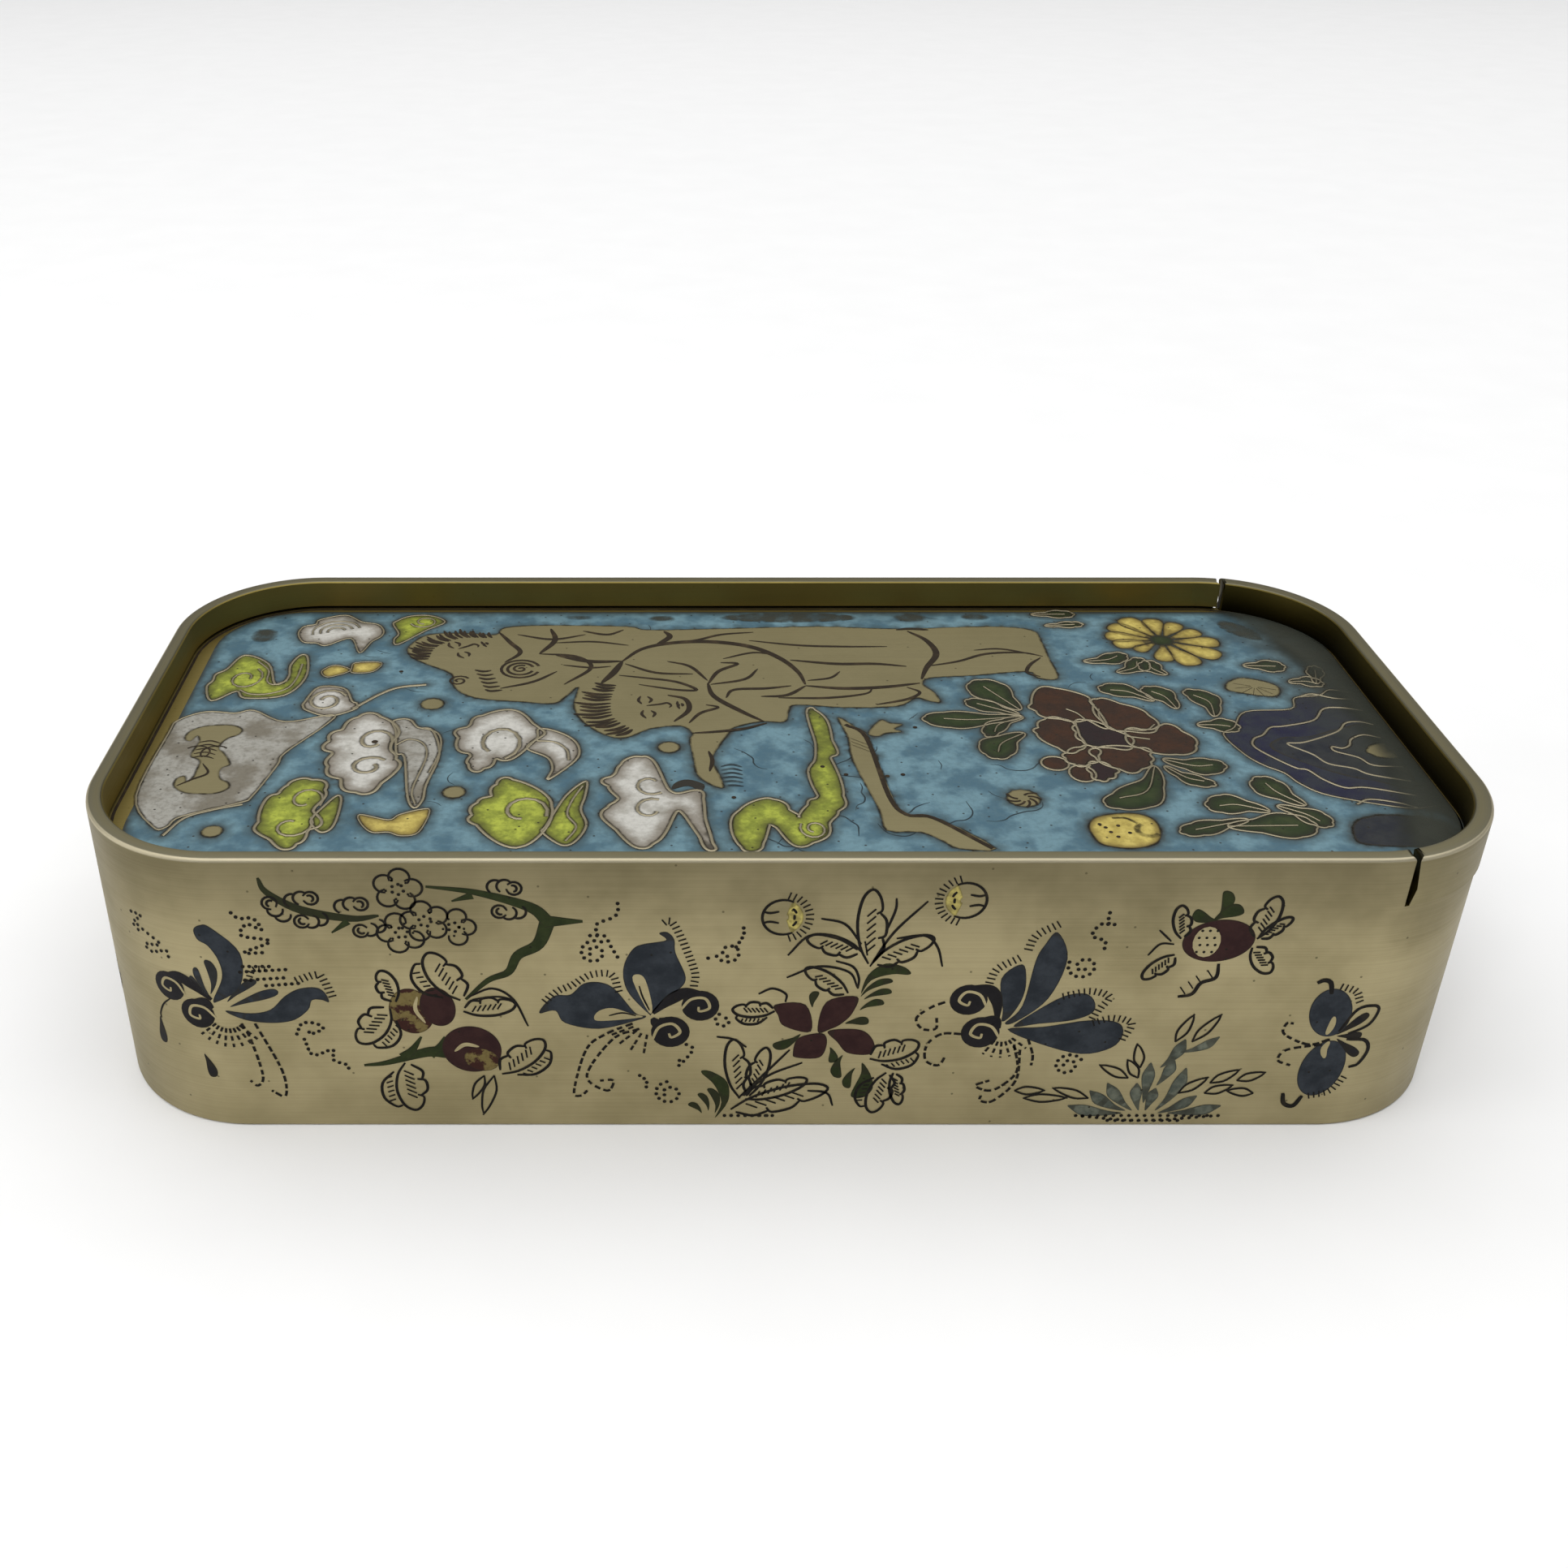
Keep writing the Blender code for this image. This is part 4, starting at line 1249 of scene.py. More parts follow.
# %% [markdown]
# The scholar's rock fills the right end, and its ridges are drawn by nested brass wires. In front of
# it lie a grey stone and a pale lump with a dark hollow and pits, and a brass bud hangs over it.

# %% The rock and the stones
rock = [(100, 12), (97, 13), (94.5, 11), (90, 10), (88, 6), (80, 5), (76.5, -0.5), (74, -3),
    (75.5, -9.5), (77.5, -13), (80, -15.5), (81.5, -19), (85, -22.5), (95, -26), (100, -25.5)]
fill(indigo, smooth_line(rock, 4), CELL, 1.4)
wire(rock, 0.4)
fill(slate, smooth_line([(83, -4), (88, -3.5), (93.5, -1), (99.5, -0.5), (99.5, -19.5), (93.5, -18),
    (88, -15.5), (80.5, -8)], 4, closed=True), CELL + 0.004, 1.4)
for line in (
        [(91, 10.5), (93.5, 11.5), (96.5, 10), (100, 9.5)],
        [(100, 5.5), (96.5, 6.5), (93.5, 6), (90.5, 2), (85, 0), (82.5, -0.5), (80.5, -3),
            (78.5, -4.5), (78, -7.5), (82, -13.5), (84, -14.5), (85.5, -17.5), (88, -20), (91.5, -20),
            (98.5, -22.5)],
        [(100, 0.5), (98, 1.5), (95.5, 1), (93, -2), (86.5, -5.5), (83.5, -6), (86.5, -9.5),
            (88, -12.5), (91.5, -14), (93.5, -16), (99, -18)],
        [(99.5, -4), (97, -3), (94.5, -4.5), (93.5, -6.5), (92, -7.5), (90.5, -7), (90.5, -8.5),
            (93.5, -10.5), (95, -13), (99.5, -13.5)],
        [(88, -25), (90.5, -23.5), (94.5, -24.5), (97, -26)]):
    wire(line, 0.55)
plate([(95.5, -8.5), (97, -6.5), (99.5, -6), (100, -10.5), (97, -10.5), (96, -9.5)])
cell(slate, [(85.5, -36.5), (84.5, -33), (86.5, -29.5), (91, -28), (96.5, -29), (98.5, -31.5),
    (98, -36.5)], 0)
cell(yellow, [(45.5, -31), (47.5, -28.5), (52.5, -27.5), (55.5, -29), (56, -32.5), (54.5, -36),
    (50.5, -37.5), (46.5, -36.5), (45.5, -34)], 0)
wire([(49.5, -29), (51.5, -29), (53, -30.5)], 0, soiled=0.9)
wire(arc((54.2, -32.4), 1.7, 110, 320), 0, soiled=1.3)
for pit in ((47.2, -30.8), (47.9, -31.7), (49.9, -31.2), (48.4, -33), (49.2, -34.3), (51.2, -33.2)):
    dot(lid_lines, pit, 0.33, LINE)
plate([(79.5, 14.5), (81, 16.5), (83.5, 17.5), (87, 16), (88.5, 13.5), (86.5, 10.5), (80, 12.5)])
bud = (84.4, 14.2)
for k in range(7):
    ray = [on_circle(bud, reach, 30 * k + 160) for reach in (0.6, 3.6)]
    engrave(ray, 0.3)
drawn("rock")

# %% [markdown]
# The ground is cut last, so that it knows where every cell wall runs and can be darker there.

# %% Far rocks, painted shade and the ground
SHADE_FILM_UP = 0.22           # the painted shade of the right end lies this far above the plate, over everything

# Low rocks at the far edge, soft and grey.
for centre, width, height, turn in (
        ((5.5, 42.4), 27, 4.4, 0), ((-18.4, 42), 5.7, 3.1, 0), ((28.3, 42.4), 6.9, 4.4, 0),
        ((40.5, 42.8), 6, 3.6, 0), ((-34, 42.4), 6, 2.4, 0), ((88.6, 36.8), 5, 10.5, 35),
        ((-91.6, 34.7), 5.4, 6.3, 0)):
    fill(lid_smudges, oval(centre, width, height, turn), METAL, 0.8)

# Painted shade over everything at the right end, thin near the picture and thick at the cap's foot. It
# starts further left in the two corners.
left_edge, thin_edge, corner_bow = 82, 95.5, 0.005
foot = [on_plan(walk, WALL + 0.5)[0] for walk in stations(0, ROUND_TRIP / 2)]
fill(lid_right_end_shade, [p for p in foot if p.x > left_edge], SHADE_FILM_UP, 1.5)
lid_right_end_shade.shade = [max(0, x - thin_edge + corner_bow * y * y) for x, y, _ in lid_right_end_shade.points]

left, right, half_wide, radius = -99.6, 102.2, 45, 15
grid, border_step = 0.9, 0.8
edge = []
for x, y, start in ((right - radius, half_wide - radius, 0), (left + radius, half_wide - radius, 90),
                    (left + radius, radius - half_wide, 180),
                    (right - radius, radius - half_wide, 270)):
    edge += arc((x, y), radius, start, start + 90, 10)
fill(turquoise, edge, GLASS, grid)
# A dark line along the foot of the rim, a painted shadow of the groove's slot.
rim_foot_shadow = [on_plan(walk, WALL + 0.4)[0] for walk in stations(0, ROUND_TRIP)]
ribbon(lid_lines, rim_foot_shadow, 0.5, GLASS)
border = smooth_line(edge + edge[:1], 1)
for a, b in zip(border, border[1:]):
    steps = max(1, int((b - a).length / border_step))
    cell_edges.extend(a + (b - a) * k / steps for k in range(steps))
near = kdtree.KDTree(len(cell_edges))
for k, p in enumerate(cell_edges):
    near.insert((p.x, p.y, 0), k)
near.balance()
turquoise.shade = [near.find((x, y, 0))[2] for x, y, _ in turquoise.points]
print(f"the ground has {len(turquoise.points)} points")

# %% [markdown]
# Then come the marks of age: fine dark cracks and scratches in the turquoise, and a few black
# pinholes.

# %% Marks of age
SCRATCH_UP = 0.01        # scratches lie this far above the ground's glass


def scribble(rng, start, heading, length, width):
    """A wandering crack."""
    step, swerve = 1.5, 38           # millimetres, and degrees either way
    line = [Vector(start)]
    for _ in range(int(length / step)):
        heading += rng.uniform(-swerve, swerve)
        line.append(on_circle(line[-1], step, heading))
    stroke(lid_scratches, line, width, GLASS + SCRATCH_UP)


rng = random.Random(7)
long_cracks, short_cracks = 14, 34
for _ in range(long_cracks):     # the ground round the staff is cracked the most
    scribble(rng, (rng.uniform(-8, 36), rng.uniform(-32, -4)), rng.uniform(-80, 20), rng.uniform(9, 17),
        0.27)
for _ in range(short_cracks):
    scribble(rng, (rng.uniform(-95, 60), rng.uniform(-36, 44)), rng.uniform(0, 360), rng.uniform(2, 5),
        0.165)
for x, y in ((10.5, -16), (19.5, -16), (23.5, -0.5), (17, -16.5), (7, -13.5), (-64.5, 20), (-7.5, -23)):
    dot(lid_lines, (x, y), 0.4, LINE)
print(f"{lid_scratches.figures} cracks and grey strokes")

# %% [markdown]
# Each layer now becomes a mesh in its own glass. The turquoise is the loudest: streaky, with paler
# milky clouds. The whites are chalky, the greens run to olive, and the maroon is almost brown.

# %% Glass for the lid
LID_DEPTH = 0.72         # how much darker the glass looks in its cell than on a colour chart


def lid_glass(name, glass, clouded, edge=None, **more):
    more.setdefault("shine", 0.15)
    shaded = tone(*edge, LID_DEPTH) if edge else None
    return enamel("lid enamel, " + name, tone(*glass, LID_DEPTH), tone(*clouded, LID_DEPTH),
                  edge=shaded, grey_and_shade_share=0.92, **more)


for layer, finish in (
        (turquoise, lid_glass("turquoise", (78, 112, 128), (116, 152, 164), edge=(68, 90, 96),
                              edge_reach=3.2, cloud_size=7.0, clouds=(0.38, 0.6), mottle=0.55,
                              grain=1.1, seam=1.2, shine=0.25)),
        (panel, lid_glass("chalky grey", (176, 174, 165), (132, 126, 112), cloud_size=9.0,
                          clouds=(0.42, 0.62), mottle=0.5)),
        (white, lid_glass("chalk white", (216, 214, 206), (182, 179, 169), edge=(124, 114, 98),
                          edge_reach=3.6, cloud_size=4.0, clouds=(0.45, 0.7))),
        (green, lid_glass("yellow green", (190, 200, 80), (140, 150, 58), edge=(92, 94, 42),
                          edge_reach=3.2, cloud_size=3.0, mottle=0.6, grain=1.1)),
        (yellow, lid_glass("pale yellow", (222, 202, 112), (190, 170, 88), edge=(122, 104, 54),
                           edge_reach=2.0, cloud_size=2.5, seam=0.5, mottle=0.5)),
        (maroon, lid_glass("maroon", (72, 47, 32), (56, 40, 30), cloud_size=4.0)),
        (plum, lid_glass("plum", (50, 36, 36), (42, 34, 34))),
        (leaf, lid_glass("leaf green", (46, 60, 30), (60, 70, 38), edge=(36, 42, 26),
                         edge_reach=2.6, cloud_size=3.0)),
        (indigo, lid_glass("indigo", (38, 38, 62), (50, 54, 62), cloud_size=5.0)),
        (slate, lid_glass("slate grey", (38, 41, 50), (52, 54, 56), cloud_size=3.0, mottle=0.5)),
        (lid_wires, aged_brass("cell wall brass", (0.34, 0.30, 0.205), (0.25, 0.22, 0.15),
                               brushed=0.5, rough=0.44, painted_shade=0.0)),
        (lid_plates, aged_brass("picture brass", (0.275, 0.24, 0.13), (0.235, 0.205, 0.11),
                                brushed=0.4, rough=0.5, painted_shade=0.0)),
        (lid_lines, engraver_paste("brown paste of the lid", tone(40, 32, 22), tone(66, 54, 36))),
        (lid_scratches, engraver_paste("dirt in scratches", tone(40, 50, 54), tone(70, 86, 90))),
        (lid_grime, dirt_and_shade_film("dirt beside the walls", tone(40, 36, 28), 0.45, 0.25, 0.85, 2.2)),
        (lid_smudges, dirt_and_shade_film("settled dust", tone(66, 68, 60, 0.72), 1.2, 0.5, 0.95, 3.0)),
        (lid_right_end_shade, dirt_and_shade_film("painted shade of the right end", tone(58, 60, 52, 0.8), 5.0, 0.6, 0.95, 6.0))):
    layer.mesh_object(finish, "lid")

# %% [markdown]
# ## The engraved wall
# Round the wall there are two kinds of work. Wings, fruit, twigs and some petals are shallow cells
# filled with dark glass, ground flush with the brass. Most leaves and the feelers are only cut with a
# graver and filled with black. The motifs are old friends in Chinese ornament: butterflies for long
# life, peaches, plum blossom and an opened pomegranate full of seeds.

# %% Layers of the wall
WALL_GLASS, WALL_METAL, WALL_LINE = 0.02, 0.032, 0.045
RED_UP, PALE_UP = 0.007, 0.014       # red glass lies on a peach's pale side, and a pale patch on the red
wall_layers = {name: Layer("wall_" + name, on_wall) for name in
               ("blue", "night", "grass", "maroon", "peach", "straw", "green", "metal", "lines")}
wall_night, wall_metal, wall_lines = (wall_layers[name] for name in ("night", "metal", "lines"))


def wall_fill(colour, points, steps=5, grid=1.3):
    lift = WALL_GLASS + (RED_UP if colour == "maroon" else 0.0)
    fill(wall_layers[colour], smooth_line(points, steps, closed=True), lift, grid)


def bare(points):
    """A patch of bare brass."""
    fill(wall_metal, points, WALL_METAL)


def sliver(points, width):
    """Bare brass left standing in a cell."""
    ribbon(wall_metal, smooth_line(points), width, WALL_METAL, taper=swelling)


def cut(points, width=0.5, steps=6):
    """One stroke of the graver."""
    stroke(wall_lines, points, width, WALL_LINE, steps, taper=steady)


def put(motif, x, y):
    """Draws a motif with its middle at a place on the wall."""
    for layer in wall_layers.values():
        layer.shift = (x, y)
    motif()


# %% [markdown]
# The engraver's strokes, each a small function: a plume that is wide near its tip, a volute like a
# watch spring, a fringe of ticks beside a wing, dots along a curl, dashes along a tail, and a leaf with
# a wavy edge and hatching.

# %% The engraver's strokes
def plume(colour, root, tip, width, bend=0.0, blunt=0.8):
    """A finger of glass."""
    wall_fill(colour, finger(root, tip, width, bend, blunt), 4)


def twig(points, width):
    """A twig of green glass, from its tip."""
    ribbon(wall_layers["green"], smooth_line(points), width, WALL_GLASS, taper=growing, soft=True)


def arm_width(t):
    return min(1.0, 0.3 + 1.4 * t)


def volute(body, way, centre, radius, start, turns):
    """A dark watch spring: an arm from the body runs round a disc, and a hook of bare brass that was
    left standing parts the two. turns above 0 run against the clock."""
    fill(wall_night, arc(centre, radius, 0, 345, 20), WALL_GLASS, 1.2)
    join = on_circle(centre, 0.62 * radius, start)
    arm = smooth_line([body, *way, join], 6)
    ribbon(wall_night, arm, 0.72 * radius, WALL_GLASS, taper=arm_width, soft=True)
    hook = [on_circle(centre, share * radius, start + turns * angle) for share, angle in
            ((1.08, -100), (0.66, -45), (0.54, 30), (0.50, 110), (0.36, 190), (0.12, 240))]
    ribbon(wall_metal, smooth_line(hook, 5), 0.17 * radius, WALL_METAL, taper=steady)


def places_along(line, spacing):
    """Places at even spacing along a line, each with the arrow of the stretch that it lies on."""
    until_next = 0.0
    for a, b in zip(line, line[1:]):
        ahead = b - a
        while until_next <= ahead.length and ahead.length > 0:
            yield a + ahead * (until_next / ahead.length), ahead
            until_next += spacing
        until_next -= ahead.length


def fringe(points, length=1.2):
    """Ticks across a smooth line."""
    spacing, width = 0.78, 0.36
    for foot, ahead in places_along(smooth_line(points, 8), spacing):
        side = left_of(ahead).normalized()
        cut([foot - 0.5 * length * side, foot + 0.5 * length * side], width)


def dotted(line, spacing, radius):
    """Dots along a line, as a punch makes them."""
    for place, _ in places_along(line, spacing):
        dot(wall_lines, place, radius, WALL_LINE)


def dots(points, spacing=1.05, steps=6):
    dotted(smooth_line(points, steps), spacing, 0.31)


def dotted_curl(centre, radius, start=0, turns=1.5):
    dots(curl(centre, radius, 0.25 * radius, turns, start), steps=1)


def dashed(line, dash, gap, width):
    """Short cuts along a line."""
    piece, stretch = 0.2, 1.1        # a piece's length, and the share of it that is drawn
    travelled = 0.0
    for a, b in zip(line, line[1:]):
        length = (b - a).length
        steps = max(1, int(length / piece))
        for step in range(steps):
            place = travelled + length * step / steps
            if place % (dash + gap) < dash:
                ends = [a + (b - a) * (step / steps), a + (b - a) * ((step + stretch) / steps)]
                ribbon(wall_lines, ends, width, WALL_LINE)
        travelled += length


def tail(points):
    dashed(smooth_line(points, 8), 1.0, 0.5, 0.42)


def dash_fan(centre, reach, start, end, rays):
    for k in range(rays):
        angle = start + (end - start) * k / (rays - 1)
        dashed([on_circle(centre, share * reach, angle) for share in (0.4, 1.0)], 0.8, 0.55, 0.38)


LOBES = ([(0.0, -0.06), (0.25, -0.34), (0.6, -0.44), (0.92, -0.28), (1.04, 0.02), (0.94, 0.26),
          (0.76, 0.34), (0.70, 0.16)],
         [(0.72, 0.26), (0.60, 0.48), (0.40, 0.46), (0.36, 0.22)],
         [(0.38, 0.36), (0.20, 0.42), (0.04, 0.10)])
HIDDEN = [(0.18, -0.44), (0.42, -0.84), (0.74, -0.86), (0.94, -0.54), (0.92, -0.34)]


def wavy_leaf(base, tip, width, behind=False):
    """A leaf with a lobed edge, a plain edge and ticks along its middle, as shares of its length. A
    width below 0 has the lobes on its other side. A second leaf can show from behind."""
    base, tip = Vector(base), Vector(tip)
    size = (tip - base).length
    turn = math.degrees(math.atan2((tip - base).y, (tip - base).x))
    strokes = [(0.46, line, 4) for line in LOBES]
    for k in range(6):
        x = 0.22 + 0.10 * k
        strokes.append((0.40, [(x - 0.05, -0.14), (x + 0.05, 0.14)], 1))
        if behind:
            strokes.append((0.38, [(x + 0.06, -0.52), (x + 0.10, -0.72)], 1))
    if behind:
        strokes.append((0.46, HIDDEN, 4))
    for breadth, line, steps in strokes:
        cut(moved([(x, y * width) for x, y in line], base, turn, size), breadth, steps)


def almond(base, tip, width=1.5):
    """A narrow leaf in outline with a split at its root."""
    base, tip = Vector(base), Vector(tip)
    ahead = tip - base
    side = left_of(ahead).normalized() * width / 2
    cut([base, base + 0.35 * ahead + side, base + 0.75 * ahead + 0.7 * side, tip + 0.05 * ahead], 0.36, 4)
    cut([base, base + 0.40 * ahead - side, base + 0.80 * ahead - 0.6 * side, tip], 0.36, 4)


def blossom(centre, radius, turn=0.0, petals=(0, 1, 2, 3, 4)):
    """Plum blossom: five round petals in outline round a ring of stamens."""
    for k in petals:
        angle = turn + 72 * k
        middle = on_circle(centre, 0.60 * radius, angle)
        cut(arc(middle, 0.44 * radius, angle - 122, angle + 122, 7), 0.38, 2)
    dotted(arc(centre, 0.26 * radius, turn, turn + 359, 14), 1.0, 0.27)
    dotted(arc(centre, 0.50 * radius, turn + 36, turn + 395, 14), 2.1, 0.2)


def petal_pair(at, turn):
    """Curled petals beside a twig."""
    size = 2.1
    for x, y, radius, start, end in ((-0.62, 0.62, 0.56, 60, 235), (0.0, 0.72, 0.54, 40, 240),
                                     (0.62, 0.62, 0.52, -170, 150), (0.55, 0.60, 0.26, -80, 120)):
        cut(moved(arc((x, y), radius, start, end, 7), at, turn, size), 0.40, 2)


# %% [markdown]
# The front, from the left. Four butterflies rise between branches and flowers. Their wings are dark
# blue glass, in two of them with bare brass left standing. The first three have a pair of
# spring-shaped fore wings.

# %% Butterflies
def left_butterfly():
    wall_fill("blue", [(-0.5, 12.1), (-0.9, 13.8), (0.1, 14.7), (1.7, 14.4), (5.4, 9.9), (4.7, 3.9),
        (1, 1), (0.4, 1.4), (2.2, 5.4), (2.1, 8.5), (0.9, 11.1)])
    plume("blue", (-0.4, 2), (-2.7, 5.3), 0.9, 0.05)
    plume("blue", (-0.2, 2.1), (-1.7, 7), 1.1, 0.06)
    plume("blue", (0.1, 2.3), (0.3, 8.6), 1.5, -0.12)
    plume("blue", (2.4, 1), (7.1, 5), 1.3, 0.05)
    plume("blue", (2.7, 0.1), (10.1, 3), 1.6, 0.02)
    wall_fill("blue", [(2, -0.6), (5.6, -1.1), (8.6, -0.4), (10.9, 2), (13.1, 3.4), (15.6, 3.7),
        (16.9, 2.8), (17.4, 1), (16.3, 1.4), (14.9, 1.3), (14.2, -0.4), (12, -2.3), (9.1, -2.9),
        (5.6, -2.6), (3.1, -1.6)])
    volute((0.1, 1.3), [(-2.1, 3.3), (-4.6, 4.7)], (-6.7, 2.5), 2.6, 80, 1)
    volute((0.1, -0.3), [(-1, 0.6)], (-2.5, -1.6), 2.7, 90, 1)
    cut([(-7, 0), (-8.5, -1.5), (-9.5, -3.5), (-9.5, -4.5)], 0.3)
    plume("night", (-9.8, -4.3), (-9.9, -9.4), 1.5)
    plume("night", (-2.6, -9.3), (-1.6, -13.7), 1.6, 0.05)
    fringe([(13, 5), (16, 6), (17, 5), (18, 2)], 1.3)
    fringe([(6, 5), (7, 7), (9, 7)], 1)
    dots([(-12, 14), (-10, 14), (-12, 12), (-11, 11)])
    dots([(-11, 12), (-7, 10), (-10, 9), (-9, 8), (-6, 9), (-6, 7)])
    dots([(5, 17), (6, 16), (8, 16), (9, 14), (7, 15), (6, 13), (10, 12), (6, 10), (9, 10)], 0.95)
    for line in (
            [(5.5, 7.5), (9.5, 7.5)], [(5, 6.5), (12.5, 7)], [(5.5, 5), (12, 5.5)],
            [(8.5, 4), (14, 4.5)]):
        dots(line, 0.95)
    dots([(12, -5), (13, -3), (15, -3), (16, -4), (14, -5), (14, -4)], 0.95)
    dots([(13, -6), (14, -9), (17, -8), (17, -10), (19, -11), (19, -12)], 0.95)
    dash_fan((2, -1.5), 6.2, 222, 312, 8)
    tail([(4, -3), (5, -6), (6, -13), (5, -15), (4, -14)])
    tail([(6, -3), (9, -12), (9, -17), (7, -16)])


def middle_butterfly():
    wall_fill("blue", [(0.3, -0.1), (-2.4, 3.4), (-3.3, 6.3), (-3.1, 9.1), (-1.9, 11.6), (-0.4, 12.5),
        (2.9, 13.2), (1.9, 14.4), (3.1, 14.6), (4.1, 13.3), (4.3, 10.9), (5.8, 6.6), (4.9, 4.4), (3, 3),
        (0.9, -0.1)])
    wall_fill("blue", [(0, -0.6), (-1.6, 0), (-4.5, 4.3), (-6.6, 5.6), (-9.1, 5.4), (-11.1, 3.4),
        (-13.3, 3.2), (-15.1, 1.4), (-15.7, -0.1), (-13.4, 0.4), (-12, -1.9), (-7, -3), (-1.3, -1.4)])
    bare(smooth_line([(0.4, 0.1), (-1.9, 5.9), (-1.3, 7.1), (-0.1, 6.1), (0.9, 1.3)], 4, closed=True))
    bare(smooth_line([(-0.6, -0.8), (-6.6, -1.5), (-7.7, -0.9), (-6.9, 0.4), (-4.9, 0.9), (-2.3, -0.1)],
        4, closed=True))
    cut([(0.5, 0.5), (-0.5, 3), (-1, 5)], 0.3)
    cut([(-1.5, -0.5), (-3.5, 0), (-5.5, -0.5)], 0.3)
    volute((1, -0.1), [(3, 1.9), (5.5, 3.6)], (8, 1.3), 2.8, 95, -1)
    volute((0.9, -1), [(1.6, -1.9)], (3.6, -3.6), 2.9, 110, -1)
    fringe([(7, 5), (7, 8), (4, 16), (2, 16)], 1.2)
    fringe([(-4, 4), (-5, 7), (-8, 7), (-11, 5), (-13, 4), (-15, 2)], 1.2)
    tail([(-2, -2), (-6, -4), (-9, -7), (-11, -15), (-10, -16), (-9, -15)])
    tail([(-1, -3), (-5, -5), (-9, -12), (-6, -15), (-5, -13), (-7, -13)])
    dash_fan((0.5, -1.5), 6.6, 205, 262, 4)
    dotted_curl((-7.5, 11), 2.2, 60, 1.5)
    dots([(-7, 14), (-7, 16), (-5, 17), (-4, 18), (-4, 20)])
    dots([(-8, 14), (-6, 14), (-5, 12), (-4, 10)])
    dotted_curl((12, 11), 1.9, 200, 1.4)
    dots([(9, 10), (10, 10)])
    dots([(13, 12), (14, 14), (14, 15), (14, 16)], 0.9)
    dotted_curl((11.5, -1.5), 1.4, 120, 1.1)
    dots([(6, -6), (7, -7), (5, -10), (5, -9)])
    dotted_curl((3.5, -15.5), 2.3, 100, 1.5)
    dots([(-1, -12), (0, -13), (0, -14), (0, -15)], 0.9)
    dots([(12, -20), (20, -20)])
    dots([(13, -20), (19, -20)], 1.1)


def right_butterfly():
    wall_fill("blue", [(5, 17.6), (7, 12.9), (5.1, 5.7), (0.9, 1.4), (-0.8, 1.1), (1.4, 4.3), (2.4, 12.4),
        (3.4, 15.3)])
    wall_fill("blue", [(-1.3, 1.4), (-1.4, 3.6), (-2.2, 9.3), (0.6, 11.9), (1.5, 8.6), (1.2, 5.4),
        (-0.1, 2.4)])
    plume("blue", (0.5, 0.4), (12, 5), 4.8, 0.03)
    plume("blue", (-0.3, -0.1), (17, -1), 6.4, -0.06, 0.75)
    volute((-2, 1.7), [(-2.4, 5), (-3.6, 7.1)], (-6.6, 5.4), 2.8, 75, 1)
    volute((-1.6, 0), [(-2.4, 1.4)], (-4.3, -0.7), 2.9, 80, 1)
    fringe([(5, 19), (2, 17), (1, 14)], 1.3)
    fringe([(0, 13), (-3, 11), (-4, 8)], 1.3)
    fringe([(12, 2), (13, 4), (14, 6), (11, 7), (7, 6)], 1.2)
    fringe([(17, -2), (18, 1), (15, 2), (12, 1)], 1.2)
    tail([(-10, 5), (-12, 4), (-14, 2), (-13, 0), (-11, 0), (-11, 2)])
    tail([(-7, -1), (-10, -1), (-12, -3), (-12, -6), (-10, -7), (-9, -5)])
    dash_fan((-1, -0.5), 5, 240, 320, 6)
    tail([(1, -3), (2, -8), (0, -11), (-2, -12), (-4, -11), (-2, -10)])
    tail([(2, -4), (2, -10), (-1, -14), (-3, -14), (-3, -13)])
    tail([(3, -2), (4, -5), (4, -7)])
    dotted_curl((9.5, 11.5), 2.3, 160, 1.4)
    dots([(12, 21), (12, 19), (13, 19), (11, 19), (10, 17), (12, 16), (12, 14)], 1)
    dotted_curl((9.5, -7), 2.2, 30, 1.5)


def corner_butterfly():
    wall_fill("blue", oval((-1.9, 6), 9, 6.3, 99))
    wall_fill("blue", oval((-1.1, -4.6), 10.8, 6.7, 82))
    sliver([(-1.2, 5.3), (-1.3, 3.6), (-1.7, 1.9)], 1)
    sliver([(-1, 0.6), (-1.5, -0.9), (-1.1, -2.6)], 1)
    cut([(-5, 11.5), (-4, 12), (-3, 11.5), (-2.5, 9.5)], 0.75)
    cut([(-6, -9.5), (-5.5, -11.5), (-4, -12), (-3, -10)], 0.75)
    plume("night", (-0.2, 1.9), (4, 5.6), 1.5)
    plume("night", (-0.1, 1.6), (3.8, 1.6), 1.3)
    plume("night", (0, 1.1), (4, -2.4), 1.5)
    cut([(0, 2.5), (2, 6.5), (4.5, 7), (5.5, 6), (4.5, 3.5), (1.5, 2)], 0.5)
    cut([(1.5, 1), (4.5, 0.5), (5.5, -1.5), (4.5, -4), (3, -4.5)], 0.6)
    fringe([(2, 8), (1, 10), (-2, 11)], 1.2)
    fringe([(-2, -10), (1, -9), (3, -6)], 1.2)
    tail([(-1, 1), (-4, 0), (-8, 2), (-8, 4), (-7, 4)])
    tail([(-2, 0), (-7, -1), (-8, -3), (-6, -4)])


# %% [markdown]
# The plants start with a plum branch in blossom, peaches among hatched leaves, and an opened
# pomegranate.

